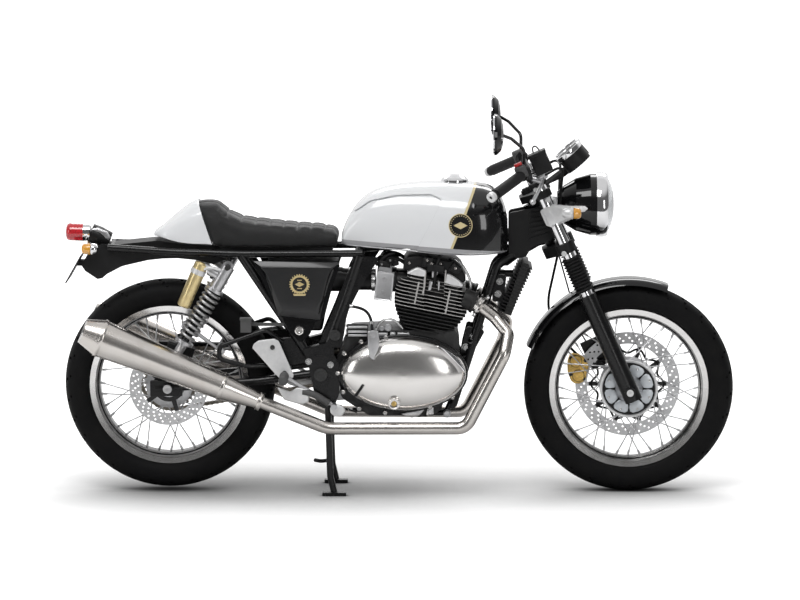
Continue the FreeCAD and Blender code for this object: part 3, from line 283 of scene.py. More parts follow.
def mixColour(tree, factor, a, b, blend="MIX"):
    node = addNode(tree, "Mix", data_type="RGBA", blend_type=blend)
    for socket, value in ((node.inputs[0], factor), (node.inputs[6], a), (node.inputs[7], b)):
        if isinstance(value, (int, float)):
            socket.default_value = value
        elif isinstance(value, tuple):
            socket.default_value = (*value, 1) if len(value) == 3 else value
        else:
            tree.links.new(value, socket)
    return node.outputs[2]


def makeSurfaceGroup():
    group, first, last, coordinates = startGroup(
        "surfaceVariation",
        [("Colour", "Color", (0.5, 0.5, 0.5, 1)), ("Second Colour", "Color", (0.4, 0.4, 0.4, 1)),
         ("Scale", "Float", 40.0), ("Amount", "Float", 0.4), ("Rough Low", "Float", 0.2),
         ("Rough High", "Float", 0.4), ("Fine Scale", "Float", 900.0)],
        [("Colour", "Color"), ("Roughness", "Float"), ("Height", "Float")])
    link = group.links.new
    broad = addNode(group, "TexNoise", {"Detail": 5.0, "Roughness": 0.6})
    link(coordinates.outputs["Object"], broad.inputs["Vector"])
    link(first.outputs["Scale"], broad.inputs["Scale"])
    fine = addNode(group, "TexNoise", {"Detail": 2.0, "Roughness": 0.5})
    link(coordinates.outputs["Object"], fine.inputs["Vector"])
    link(first.outputs["Fine Scale"], fine.inputs["Scale"])
    spread = addNode(group, "MapRange", {"From Min": 0.35, "From Max": 0.65})
    link(broad.outputs[0], spread.inputs["Value"])
    share = mathNode(group, "MULTIPLY", spread.outputs[0], first.outputs["Amount"])
    link(mixColour(group, share, first.outputs["Colour"], first.outputs["Second Colour"]),
         last.inputs["Colour"])
    rough = addNode(group, "MapRange")
    blend = mathNode(group, "ADD", mathNode(group, "MULTIPLY", broad.outputs[0], 0.7),
                     mathNode(group, "MULTIPLY", fine.outputs[0], 0.3))
    rough.inputs["From Min"].default_value = 0.3
    rough.inputs["From Max"].default_value = 0.7
    link(blend, rough.inputs["Value"])
    link(first.outputs["Rough Low"], rough.inputs["To Min"])
    link(first.outputs["Rough High"], rough.inputs["To Max"])
    link(rough.outputs[0], last.inputs["Roughness"])
    link(fine.outputs[0], last.inputs["Height"])
    return group


def makeBrushedGroup():
    group, first, last, coordinates = startGroup(
        "brushedGrain",
        [("Stretch", "Vector", (1.0, 1.0, 1.0)), ("Scale", "Float", 300.0), ("Rough Low", "Float", 0.2),
         ("Rough High", "Float", 0.4)],
        [("Roughness", "Float"), ("Height", "Float")])
    link = group.links.new
    stretch = addNode(group, "VectorMath", operation="MULTIPLY")
    link(coordinates.outputs["Object"], stretch.inputs[0])
    link(first.outputs["Stretch"], stretch.inputs[1])
    grain = addNode(group, "TexNoise", {"Detail": 3.0, "Roughness": 0.7})
    link(stretch.outputs[0], grain.inputs["Vector"])
    link(first.outputs["Scale"], grain.inputs["Scale"])
    rough = addNode(group, "MapRange", {"From Min": 0.3, "From Max": 0.7})
    link(grain.outputs[0], rough.inputs["Value"])
    link(first.outputs["Rough Low"], rough.inputs["To Min"])
    link(first.outputs["Rough High"], rough.inputs["To Max"])
    link(rough.outputs[0], last.inputs["Roughness"])
    link(grain.outputs[0], last.inputs["Height"])
    return group


def makeLeatherGroup():
    group, first, last, coordinates = startGroup(
        "leatherGrain",
        [("Scale", "Float", 900.0), ("Colour", "Color", (0.05, 0.05, 0.05, 1)),
         ("Crease Colour", "Color", (0.02, 0.02, 0.02, 1))],
        [("Colour", "Color"), ("Roughness", "Float"), ("Height", "Float")])
    link = group.links.new
    cells = addNode(group, "TexVoronoi", feature="DISTANCE_TO_EDGE")
    link(coordinates.outputs["Object"], cells.inputs["Vector"])
    link(first.outputs["Scale"], cells.inputs["Scale"])
    crease = addNode(group, "MapRange", {"From Min": 0.0, "From Max": 0.18})
    link(cells.outputs["Distance"], crease.inputs["Value"])
    wear = addNode(group, "TexNoise", {"Scale": 14.0, "Detail": 4.0})
    link(coordinates.outputs["Object"], wear.inputs["Vector"])
    colour = mixColour(group, crease.outputs[0], first.outputs["Crease Colour"], first.outputs["Colour"])
    link(colour, last.inputs["Colour"])
    rough = addNode(group, "MapRange", {"From Min": 0.3, "From Max": 0.7, "To Min": 0.48, "To Max": 0.66})
    link(wear.outputs[0], rough.inputs["Value"])
    link(rough.outputs[0], last.inputs["Roughness"])
    link(crease.outputs[0], last.inputs["Height"])
    return group


surfaceGroup = makeSurfaceGroup()
brushedGroup = makeBrushedGroup()
leatherGroup = makeLeatherGroup()


finishes = {}


def startMaterial(name, **sockets):
    material = bpy.data.materials.new(name)
    material.use_nodes = True
    shader = material.node_tree.nodes["Principled BSDF"]
    for label, value in sockets.items():
        shader.inputs[label.replace("_", " ")].default_value = value
    finishes[name] = material
    return material.node_tree, shader


def feedShader(tree, shader, colour, grain, distance=0.0, strength=1.0):
    tree.links.new(colour, shader.inputs["Base Color"])
    tree.links.new(grain.outputs["Roughness"], shader.inputs["Roughness"])
    if distance:
        bump = addNode(tree, "Bump", {"Strength": strength, "Distance": distance})
        tree.links.new(grain.outputs["Height"], bump.inputs["Height"])
        tree.links.new(bump.outputs[0], shader.inputs["Normal"])


def addGroup(tree, group, values):
    node = tree.nodes.new("ShaderNodeGroup")
    node.node_tree = group
    for key, value in values.items():
        if isinstance(value, tuple) and len(value) == 3 and node.inputs[key].type == "RGBA":
            value = (*value, 1)
        node.inputs[key].default_value = value
    return node


def variedMaterial(name, colour, second, metallic, roughness, scale=30.0, amount=0.5, bump=0.00002,
                   fineScale=900.0, **sockets):
    tree, shader = startMaterial(name, Metallic=metallic, **sockets)
    group = addGroup(tree, surfaceGroup, {
        "Colour": colour, "Second Colour": second, "Scale": scale, "Amount": amount,
        "Rough Low": roughness[0], "Rough High": roughness[1], "Fine Scale": fineScale})
    feedShader(tree, shader, group.outputs["Colour"], group, bump)


def brushedMaterial(name, colour, second, roughness, stretch, scale=300.0, bump=0.00002, metallic=1.0,
                    **sockets):
    tree, shader = startMaterial(name, Metallic=metallic, **sockets)
    surface = addGroup(tree, surfaceGroup, {"Colour": colour, "Second Colour": second, "Scale": 18.0,
                                            "Amount": 0.6})
    grain = addGroup(tree, brushedGroup, {"Stretch": stretch, "Scale": scale, "Rough Low": roughness[0],
                                          "Rough High": roughness[1]})
    feedShader(tree, shader, surface.outputs["Colour"], grain, bump)


variedMaterial("tyreRubber", (0.005, 0.005, 0.0055), (0.009, 0.0088, 0.0085), 0.0, (0.55, 0.75), 24.0, 0.7,
               0.00006, 1400.0, Specular_IOR_Level=0.1)
variedMaterial("gripRubber", (0.009, 0.009, 0.0095), (0.015, 0.015, 0.015), 0.0, (0.5, 0.7), 40.0, 0.5, 0.0001,
               1200.0, Specular_IOR_Level=0.25)
variedMaterial("hubAlloy", (0.62, 0.62, 0.63), (0.48, 0.48, 0.49), 1.0, (0.28, 0.45), 60.0, 0.6)
variedMaterial("blueAlloy", (0.6, 0.63, 0.66), (0.48, 0.51, 0.54), 0.55, (0.3, 0.45), 60.0, 0.6)
variedMaterial("spokeSteel", (0.7, 0.7, 0.7), (0.5, 0.5, 0.5), 1.0, (0.2, 0.35), 80.0, 0.5)
variedMaterial("frameBlack", (0.004, 0.004, 0.0045), (0.007, 0.007, 0.007), 0.0, (0.22, 0.34), 20.0, 0.5,
               0.00004, 700.0, Specular_IOR_Level=0.4)
variedMaterial("satinBlack", (0.005, 0.005, 0.0055), (0.01, 0.01, 0.01), 0.0, (0.4, 0.56), 30.0, 0.5, 0.00006,
               1100.0, Specular_IOR_Level=0.3)
variedMaterial("panelBlack", (0.014, 0.014, 0.015), (0.02, 0.02, 0.02), 0.0, (0.28, 0.4), 16.0, 0.5, 0.00001,
               600.0, Specular_IOR_Level=0.25, Coat_Weight=0.5, Coat_Roughness=0.1)
variedMaterial("glossBlack", (0.004, 0.004, 0.0045), (0.006, 0.006, 0.0065), 0.0, (0.1, 0.18), 16.0, 0.5,
               0.00001, 600.0, Specular_IOR_Level=0.0, Coat_Weight=1.0, Coat_Roughness=0.05)
variedMaterial("whitePaint", (0.74, 0.75, 0.76), (0.7, 0.71, 0.73), 0.0, (0.14, 0.22), 9.0, 0.5, 0.00001,
               600.0, Coat_Weight=1.0, Coat_Roughness=0.04)
variedMaterial("chrome", (0.85, 0.85, 0.86), (0.78, 0.78, 0.8), 1.0, (0.05, 0.12), 30.0, 0.5, 0.000005)
brushedMaterial("stainless", (0.72, 0.69, 0.66), (0.62, 0.58, 0.54), (0.2, 0.28), (1, 8, 8), 400.0, 0.000004)
brushedMaterial("polishedAlloy", (0.86, 0.84, 0.82), (0.78, 0.76, 0.74), (0.16, 0.24), (1, 1, 1), 300.0,
                0.0000008)
variedMaterial("castDark", (0.05, 0.05, 0.05), (0.025, 0.025, 0.025), 0.5, (0.4, 0.6), 70.0, 0.7, 0.0002, 700.0)
variedMaterial("finBlack", (0.012, 0.0118, 0.0115), (0.02, 0.02, 0.02), 0.0, (0.4, 0.6), 50.0, 0.6, 0.0001,
               900.0, Specular_IOR_Level=0.35)
variedMaterial("finEdge", (0.5, 0.49, 0.48), (0.32, 0.31, 0.3), 0.2, (0.35, 0.5), 90.0, 0.8, 0.0001, 900.0)
variedMaterial("caliperGold", (0.85, 0.57, 0.17), (0.58, 0.36, 0.09), 0.7, (0.22, 0.4), 60.0, 0.8)
variedMaterial("goldMetal", (0.62, 0.44, 0.17), (0.5, 0.33, 0.1), 0.9, (0.25, 0.4), 50.0, 0.6)
variedMaterial("brassTrim", (0.8, 0.66, 0.36), (0.66, 0.5, 0.22), 0.8, (0.25, 0.4), 60.0, 0.5)
variedMaterial("brushedSeam", (0.42, 0.42, 0.43), (0.3, 0.3, 0.31), 0.6, (0.3, 0.45), 40.0, 0.5)
variedMaterial("springSteel", (0.5, 0.5, 0.5), (0.36, 0.36, 0.36), 0.9, (0.25, 0.4), 60.0, 0.6)
variedMaterial("brightAlloy", (0.74, 0.74, 0.74), (0.62, 0.62, 0.63), 0.35, (0.3, 0.42), 60.0, 0.6)
variedMaterial("greyRubber", (0.07, 0.07, 0.07), (0.05, 0.05, 0.05), 0.0, (0.5, 0.65), 60.0, 0.6)
variedMaterial("redSwitch", (0.5, 0.02, 0.02), (0.4, 0.015, 0.015), 0.0, (0.25, 0.4), 60.0, 0.6)
variedMaterial("chainSteel", (0.28, 0.26, 0.23), (0.16, 0.14, 0.11), 1.0, (0.3, 0.5), 90.0, 0.8)
variedMaterial("redLens", (0.55, 0.01, 0.02), (0.7, 0.04, 0.05), 0.0, (0.08, 0.16), 60.0, 0.5, 0.00002, 300.0,
               Coat_Weight=1.0, Transmission_Weight=0.25)
variedMaterial("amberLens", (0.8, 0.36, 0.03), (0.9, 0.5, 0.1), 0.0, (0.1, 0.2), 60.0, 0.5, 0.00002, 300.0,
               Coat_Weight=1.0, Transmission_Weight=0.2)
variedMaterial("mirrorGlass", (0.9, 0.9, 0.92), (0.88, 0.88, 0.9), 1.0, (0.02, 0.04), 8.0, 0.3, 0.000001)


def ringMask(tree, reach, low, high):
    return mathNode(tree, "MULTIPLY", mathNode(tree, "GREATER_THAN", reach, low),
                    mathNode(tree, "LESS_THAN", reach, high))


def reachFrom(tree, x, z, centre):
    across = mathNode(tree, "SUBTRACT", x, centre[0])
    up = mathNode(tree, "SUBTRACT", z, centre[1])
    squares = mathNode(tree, "ADD", mathNode(tree, "MULTIPLY", across, across),
                       mathNode(tree, "MULTIPLY", up, up))
    return across, up, mathNode(tree, "SQRT", squares)


def sidePlace(tree):
    split = addNode(tree, "SeparateXYZ")
    tree.links.new(addNode(tree, "TexCoord").outputs["Object"], split.inputs[0])
    return split.outputs["X"], split.outputs["Z"]


def makeTankPaint(name, place):
    tree, shader = startMaterial(name, Coat_Weight=1.0, Coat_Roughness=0.04, Specular_IOR_Level=0.2)
    x, z = sidePlace(tree)
    line = mathNode(tree, "MULTIPLY_ADD", z, place["slope"])
    line.node.inputs[2].default_value = place["foot"] - place["slope"] * place["footHeight"]
    ahead = mathNode(tree, "SUBTRACT", x, line)
    black = mathNode(tree, "GREATER_THAN", ahead, place["stripe"] / 2)
    stripe = mathNode(tree, "LESS_THAN", mathNode(tree, "ABSOLUTE", ahead), place["stripe"] / 2)
    white = addGroup(tree, surfaceGroup, {"Colour": (0.74, 0.75, 0.76), "Second Colour": (0.7, 0.71, 0.73),
                                          "Scale": 9.0, "Rough Low": 0.14, "Rough High": 0.22})
    colour = mixColour(tree, black, white.outputs["Colour"], (0.005, 0.005, 0.0055))
    colour = mixColour(tree, stripe, colour, (0.62, 0.52, 0.3))
    # a plain ringed roundel on each side, with ticks round it and a lozenge in the middle
    across, up, reach = reachFrom(tree, x, z, place["roundel"])
    radius = place["radius"]
    colour = mixColour(tree, mathNode(tree, "LESS_THAN", reach, radius), colour, (0.01, 0.01, 0.01))
    rays = mathNode(tree, "COSINE", mathNode(tree, "MULTIPLY", mathNode(tree, "ARCTAN2", up, across),
                                             place["ticks"]))
    ticks = mathNode(tree, "MULTIPLY", mathNode(tree, "GREATER_THAN", rays, 0.55),
                     ringMask(tree, reach, radius * 0.76, radius * 0.85))
    lozenge = mathNode(tree, "LESS_THAN", mathNode(tree, "ADD", mathNode(tree, "ABSOLUTE", across),
                                                   mathNode(tree, "MULTIPLY", mathNode(tree, "ABSOLUTE", up),
                                                            1.9)),
                       radius * 0.58)
    marks = ticks
    for mask in (ringMask(tree, reach, radius * 0.93, radius), lozenge):
        marks = mathNode(tree, "MAXIMUM", marks, mask)
    colour = mixColour(tree, marks, colour, (0.62, 0.52, 0.3))
    # the bare grey flange along the tank's foot
    edge = mathNode(tree, "MULTIPLY_ADD", x, place["flangeSlope"])
    edge.node.inputs[2].default_value = place["flangeTop"]
    colour = mixColour(tree, mathNode(tree, "LESS_THAN", z, edge), colour, (0.34, 0.34, 0.35))
    feedShader(tree, shader, colour, white, 0.00001)


tankPaint = {"slope": 0.3827, "foot": 0.156, "footHeight": 0.7485, "stripe": 0.008, "roundel": (0.1856, 0.8278),
             "radius": 0.036, "ticks": 26, "flangeSlope": -0.062, "flangeTop": 0.7665}
makeTankPaint("tankPaint", tankPaint)


def makeLeather(name):
    tree, shader = startMaterial(name, Sheen_Weight=0.1, Specular_IOR_Level=0.3)
    grain = addGroup(tree, leatherGroup, {"Scale": 700.0, "Colour": (0.012, 0.012, 0.0125),
                                          "Crease Colour": (0.005, 0.005, 0.005)})
    feedShader(tree, shader, grain.outputs["Colour"], grain, 0.0002, 0.6)


def makeGlass(name, tint):
    tree, shader = startMaterial(name, Transmission_Weight=1.0, IOR=1.45)
    streak = addGroup(tree, surfaceGroup, {"Colour": tint, "Second Colour": tint, "Rough Low": 0.0,
                                           "Rough High": 0.05, "Scale": 20.0})
    feedShader(tree, shader, streak.outputs["Colour"], streak)


def makeRadialFinish(name, centre, base, bands, roughness):
    # black rings on a bright turned part, by the distance from its axle
    tree, shader = startMaterial(name, Metallic=1.0)
    reach = reachFrom(tree, *sidePlace(tree), centre)[2]
    surface = addGroup(tree, surfaceGroup, {"Colour": base, "Second Colour": tuple(0.86 * c for c in base),
                                            "Scale": 30.0, "Rough Low": roughness[0],
                                            "Rough High": roughness[1]})
    mask = None
    for low, high in bands:
        ring = ringMask(tree, reach, low, high)
        mask = ring if mask is None else mathNode(tree, "MAXIMUM", mask, ring)
    feedShader(tree, shader, mixColour(tree, mask, surface.outputs["Colour"], (0.008, 0.008, 0.008)), surface,
               0.000005)
    tree.links.new(mathNode(tree, "SUBTRACT", 1.0, mask), shader.inputs["Metallic"])


wheelFinishes = {"frontCentre": (0.699, 0.3186), "rearCentre": (-0.699, 0.3296),
                 "rimBands": [(0.2085, 0.2128), (0.2168, 0.2208)]}
for label, carrier in (("front", 0.119), ("rear", 0.08)):
    centre = wheelFinishes[label + "Centre"]
    makeRadialFinish(label + "Rim", centre, (0.8, 0.79, 0.78), wheelFinishes["rimBands"], (0.12, 0.2))
    makeRadialFinish(label + "DiscSteel", centre, (0.66, 0.66, 0.67), [(0.0, carrier)], (0.25, 0.4))
makeLeather("leather")
makeGlass("lampGlass", (0.95, 0.96, 0.97))

nodeFinish = {
    "front_tyre": "tyreRubber", "rear_tyre": "tyreRubber", "front_rim": "frontRim", "rear_rim": "rearRim",
    "front_hub": "hubAlloy", "rear_hub": "hubAlloy", "front_disc": "frontDiscSteel",
    "rear_disc": "rearDiscSteel",
    "rear_sprocket": "chainSteel", "frame": "frameBlack", "swingarm": "frameBlack", "shocks": "hubAlloy",
    "shock_springs": "springSteel", "shock_reservoirs": "goldMetal", "chain": "chainSteel",
    "fuel_tank": "tankPaint", "fuel_cap": "chrome", "seat": "leather", "seat_cowl": "whitePaint",
    "rear_mudguard": "satinBlack", "tail_lamp_lens": "redLens", "rear_indicators": "amberLens",
    "number_plate": "satinBlack", "side_panels": "glossBlack", "airbox": "satinBlack", "crankcase": "castDark",
    "right_engine_cover": "polishedAlloy", "left_engine_covers": "polishedAlloy", "cylinder_barrel": "finBlack",
    "cylinder_head": "finBlack", "rocker_cover": "finBlack", "throttle_bodies": "hubAlloy",
    "oil_cooler": "finBlack", "headers": "stainless", "mufflers": "stainless", "footrests": "hubAlloy",
    "centre_stand": "frameBlack", "side_stand": "frameBlack", "fork_tubes": "chrome",
    "fork_gaiters": "gripRubber", "fork_sliders": "frameBlack", "yokes": "satinBlack",
    "handlebars": "satinBlack",
    "grips": "gripRubber", "hand_controls": "hubAlloy", "mirrors": "glossBlack",
    "mirror_glasses": "mirrorGlass",
    "headlamp_bucket": "glossBlack", "headlamp_ring": "chrome", "headlamp_lens": "lampGlass",
    "headlamp_brackets": "brightAlloy", "front_indicators": "amberLens", "gauges": "satinBlack",
    "front_mudguard": "glossBlack", "front_caliper": "goldMetal", "headstock_covers": "satinBlack",
    "brake_reservoir": "greyRubber", "rear_caliper": "satinBlack", "chain_guard": "satinBlack",
    "hoses": "gripRubber",
}


def finishNodes():
    for name, node in nodes.items():
        finish = finishes[nodeFinish.get(name, "satinBlack")]
        if node.data.materials:
            for slot in range(len(node.data.materials)):
                node.data.materials[slot] = finish
        else:
            node.data.materials.append(finish)


finishNodes()
print("finishes given to the nodes")


def spunPiece(profile, base, direction, steps=64, turn=360):
    deselectAll()
    bpy.ops.mesh.primitive_circle_add(vertices=len(profile), radius=0.01, fill_type="NOTHING")
    piece = bpy.context.object
    for vertex, (radius, along) in zip(piece.data.vertices, profile):
        vertex.co = (radius, 0, along)
    bpy.ops.object.mode_set(mode="EDIT")
    bpy.ops.mesh.select_all(action="SELECT")
    bpy.ops.mesh.spin(steps=steps, angle=math.radians(turn), center=(0, 0, 0), axis=(0, 0, 1))
    bpy.ops.mesh.select_all(action="SELECT")
    bpy.ops.mesh.remove_doubles(threshold=0.000005)
    facesOutwards(piece)
    turnTowards(piece, base, direction)
    return piece


def turnTowards(piece, base, direction):
    piece.rotation_mode = "QUATERNION"
    piece.rotation_quaternion = Vector((0, 0, 1)).rotation_difference(Vector(direction).normalized())
    piece.location = base
    applyPlace(piece)


def extrudeBy(*move):
    bpy.ops.mesh.extrude_region_move(TRANSFORM_OT_translate={"value": move})


def flatFace(vertices, radius, **place):
    deselectAll()
    bpy.ops.mesh.primitive_circle_add(vertices=vertices, radius=radius, fill_type="NGON", **place)
    piece = bpy.context.object
    bpy.ops.object.mode_set(mode="EDIT")
    bpy.ops.mesh.select_all(action="SELECT")
    return piece


def slabPiece(corners, lift, bevel, segments):
    # a face with these corners, drawn out by lift
    piece = flatFace(len(corners), 0.01)
    bpy.ops.object.mode_set(mode="OBJECT")
    for vertex, corner in zip(piece.data.vertices, corners):
        vertex.co = corner
    bpy.ops.object.mode_set(mode="EDIT")
    extrudeBy(*lift)
    facesOutwards(piece)
    if bevel:
        applyModifier(piece, "BEVEL", width=bevel, segments=segments, limit_method="ANGLE")
    return piece


def platePiece(outline, low, high, bevel=0.0008, segments=2):
    return slabPiece([(x, low, z) for x, z in outline], (0, high - low, 0), bevel, segments)


def boxPiece(centre, size, bevel=0.001, segments=3, lean=0.0):
    deselectAll()
    bpy.ops.mesh.primitive_cube_add(size=1, location=(0, 0, 0), scale=size)
    piece = bpy.context.object
    applyPlace(piece)
    applyModifier(piece, "BEVEL", width=bevel, segments=segments)
    piece.rotation_euler = (0, lean, 0)
    piece.location = centre
    applyPlace(piece)
    return piece


def screwHead(radius=0.005, height=0.004):
    piece = flatFace(24, radius)
    extrudeBy(0, 0, height * 0.8)
    bpy.ops.mesh.inset(thickness=radius * 0.12)
    bpy.ops.transform.translate(value=(0, 0, height * 0.2))
    bpy.ops.mesh.inset(thickness=radius * 0.38)
    bpy.ops.transform.translate(value=(0, 0, -height * 0.5))
    return facesOutwards(piece)


def hexHead(radius=0.007, height=0.006):
    piece = flatFace(24, radius * 1.3)
    extrudeBy(0, 0, height * 0.25)
    head = flatFace(6, radius, location=(0, 0, height * 0.2))
    extrudeBy(0, 0, height * 0.65)
    extrudeBy(0, 0, height * 0.15)
    bpy.ops.transform.resize(value=(0.86, 0.86, 1), center_override=(0, 0, height))
    bpy.ops.object.mode_set(mode="OBJECT")
    applyPlace(head)
    return joinPieces([piece, head])


def facing(place, direction, spin=0.0):
    turn = Vector((0, 0, 1)).rotation_difference(Vector(direction).normalized())
    return Matrix.Translation(place) @ turn.to_matrix().to_4x4() @ Matrix.Rotation(spin, 4, "Z")


tyreDetail = {
    "steps": 180, "grooveDepth": 0.0035, "grooveEvery": 6,
    "front": {"centre": (0.699, 0, 0.3186), "radius": 0.3186, "half": 0.05, "seat": 0.029,
              "body": "front_wheel"},
    "rear": {"centre": (-0.699, 0, 0.3296), "radius": 0.3196, "half": 0.065, "seat": 0.046,
             "body": "rear_wheel"},
    "bead": 0.2286,
}


def buildTyre(name):
    detail = tyreDetail[name]
    radius, half, seat, bead = detail["radius"], detail["half"], detail["seat"], tyreDetail["bead"]
    height = radius - bead
    outer = [(bead + 0.0004, seat), (bead + 0.013, seat + 0.0005), (bead + height * 0.24, half * 0.88),
             (bead + height * 0.38, half * 0.965), (bead + height * 0.52, half * 0.995),
             (bead + height * 0.64, half * 0.985), (bead + height * 0.75, half * 0.925),
             (bead + height * 0.83, half * 0.84), (bead + height * 0.895, half * 0.71),
             (bead + height * 0.945, half * 0.54), (bead + height * 0.98, half * 0.32), (radius, half * 0.11)]
    inner = [(radius - 0.013, half * 0.4), (bead + height * 0.5, half - 0.009), (bead + 0.0004, seat - 0.009)]
    profile = inner + outer + [(r, -across) for r, across in (inner + outer)[::-1]]
    piece = spunPiece(profile, detail["centre"], (0, 1, 0), tyreDetail["steps"])
    # grooves: faces of the shoulders picked in slanting rows, then sunk
    centre = Vector(detail["centre"])
    bpy.ops.object.mode_set(mode="EDIT")
    bpy.ops.mesh.select_mode(type="FACE")
    bpy.ops.mesh.select_all(action="DESELECT")
    bpy.ops.object.mode_set(mode="OBJECT")
    every = tyreDetail["grooveEvery"]
    for polygon in piece.data.polygons:
        spot = polygon.center - centre
        reach = math.hypot(spot.x, spot.z)
        if reach < bead + height * 0.72 or polygon.normal.dot(Vector((spot.x, 0, spot.z))) < 0:
            continue
        if reach < radius - 0.012 and polygon.normal.dot(Vector((spot.x, 0, spot.z)).normalized()) < 0.15:
            continue
        row = math.atan2(spot.z, spot.x) / (2 * math.pi) * tyreDetail["steps"]
        side = 1 if spot.y > 0 else -1
        lean = abs(spot.y) / half * 3.2
        phase = (row + lean + (every / 2 if side > 0 else 0)) % every
        if phase < 1.0 and abs(spot.y) > half * 0.2:
            polygon.select = True
    bpy.ops.object.mode_set(mode="EDIT")
    bpy.ops.mesh.inset(thickness=0.0014, use_boundary=True)
    bpy.ops.mesh.extrude_region_shrink_fatten(TRANSFORM_OT_shrink_fatten={"value": -tyreDetail["grooveDepth"]})
    bpy.ops.object.mode_set(mode="OBJECT")
    fitted(piece, name + "TyreTread", detail["body"], "tyreRubber", 40)
    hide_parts(name + "_tyre")


for wheelName in ("front", "rear"):
    buildTyre(wheelName)
print("tyres built")


springDetail = {
    "top": (-0.514, 0.13, 0.7015), "bottom": (-0.676, 0.13, 0.424), "from": 0.086, "leave": 0.062,
    "coilRadius": 0.0245, "wire": 0.0045, "turns": 10,
}


def buildSprings():
    top, bottom = Vector(springDetail["top"]), Vector(springDetail["bottom"])
    along = (bottom - top).normalized()
    length = (bottom - top).length - springDetail["from"] - springDetail["leave"]
    turns = springDetail["turns"]
    deselectAll()
    bpy.ops.mesh.primitive_circle_add(vertices=12, radius=springDetail["wire"], rotation=(math.pi / 2, 0, 0),
                                      location=(springDetail["coilRadius"], 0, 0))
    piece = bpy.context.object
    applyPlace(piece)
    applyModifier(piece, "SCREW", axis="Z", angle=2 * math.pi, steps=28, render_steps=28, iterations=turns,
                  screw_offset=(length - 2 * springDetail["wire"]) / turns, use_merge_vertices=True)
    turnTowards(piece, top + along * (springDetail["from"] + springDetail["wire"]), along)
    piece = onBothSides(piece)
    fitted(piece, "shockCoils", "chassis", "springSteel", 60)
    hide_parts("shock_springs")
    # damper rod inside the coils
    sleeve = spunPiece([(0.0105, 0), (0.0125, 0.002), (0.0125, length - 0.002), (0.0105, length)],
                       top + along * springDetail["from"], along, 32)
    fitted(onBothSides(sleeve), "damperRods", "chassis", "frameBlack", 40)


buildSprings()
print("springs built")


chainDetail = {
    "links": 100, "pitch": 0.015875, "rearTeeth": 38, "frontTeeth": 15, "across": 0.084,
    "rearCentre": (-0.699, 0.3296), "outputHeight": 0.372, "plateHeight": 0.0056, "plateThick": 0.0018,
}


def chainPlaces():
    detail = chainDetail
    pitch, links = detail["pitch"], detail["links"]
    rearRadius = pitch / (2 * math.sin(math.pi / detail["rearTeeth"]))
    frontRadius = pitch / (2 * math.sin(math.pi / detail["frontTeeth"]))
    distance = (links - (detail["rearTeeth"] + detail["frontTeeth"]) / 2) * pitch / 2
    distance -= pitch * ((detail["rearTeeth"] - detail["frontTeeth"]) / (2 * math.pi)) ** 2 / 2 / (distance / pitch)
    rear = Vector((detail["rearCentre"][0], 0, detail["rearCentre"][1]))
    front = rear + Vector((math.sqrt(distance ** 2 - (detail["outputHeight"] - rear.z) ** 2), 0,
                           detail["outputHeight"] - rear.z))
    lean = math.asin((rearRadius - frontRadius) / distance)
    line = math.atan2(front.z - rear.z, front.x - rear.x)
    straight = distance * math.cos(lean)
    topAngle, bottomAngle = line + math.pi / 2 - lean, line - math.pi / 2 + lean
    stretches = [(straight, rear, rearRadius, topAngle, 0.0, topAngle - math.pi / 2),
                 ((math.pi - 2 * lean) * frontRadius, front, frontRadius, topAngle, 1.0, 0.0),
                 (straight, front, frontRadius, bottomAngle, 0.0, bottomAngle - math.pi / 2),
                 ((math.pi + 2 * lean) * rearRadius, rear, rearRadius, bottomAngle, 1.0, 0.0)]
    total = sum(stretch[0] for stretch in stretches)
    places = []
    for k in range(links):
        run = total * k / links
        for reach, centre, radius, angle, curved, heading in stretches:
            if run < reach:
                break
            run -= reach
        if curved:
            turned = angle - run / radius
            spot = centre + Vector((math.cos(turned), 0, math.sin(turned))) * radius
        else:
            spot = centre + Vector((math.cos(angle), 0, math.sin(angle))) * radius
            spot = spot + Vector((math.cos(heading), 0, math.sin(heading))) * run
        places.append(spot)
    return places


def linkPlate(across, thick):
    pitch, high = chainDetail["pitch"], chainDetail["plateHeight"]
    outline = []
    for k in range(7):
        angle = math.pi / 2 + math.pi * k / 6
        outline.append((high * math.cos(angle), high * math.sin(angle)))
    outline.append((pitch * 0.5, -high * 0.72))
    for k in range(7):
        angle = -math.pi / 2 + math.pi * k / 6
        outline.append((pitch + high * math.cos(angle), high * math.sin(angle)))
    outline.append((pitch * 0.5, high * 0.72))
    return platePiece(outline, across, across + thick, 0)


def buildChain():
    places = chainPlaces()
    across, thick, pitch = chainDetail["across"], chainDetail["plateThick"], chainDetail["pitch"]
    links = []
    # inner links carry the rollers, outer links the pins
    for inset, radius, half, steps in ((0.0062, 0.0048, 0.0062, 14), (0.0084, 0.0024, 0.0102, 10)):
        parts = [linkPlate(inset, thick), linkPlate(-inset - thick, thick)]
        for at in (0.0, pitch):
            parts.append(spunPiece([(0.0001, -half), (radius, -half), (radius, half), (0.0001, half)],
                                   (at, 0, 0),
                                   (0, 1, 0), steps))
        links.append(joinPieces(parts))
    made = []
    for parity, link in enumerate(links):
        matrices = []
        for k in range(parity, len(places), 2):
            here, after = places[k], places[(k + 1) % len(places)]
            heading = math.atan2(after.z - here.z, after.x - here.x)
            matrices.append(Matrix.Translation((here.x, across, here.z)) @ Matrix.Rotation(-heading, 4, "Y"))
        made.append(copiesJoined(link, matrices))
    piece = joinPieces(made)
    fitted(piece, "driveChain", "chassis", "chainSteel")
    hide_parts("chain")


buildChain()
print("chain built")


seatDetail = {
    "voxel": 0.005, "pressure": 4.0, "cap": 0.007, "channelEvery": 0.042, "channelDepth": 0.003,
    "channelWidth": 0.0035, "puff": 0.0006,
}


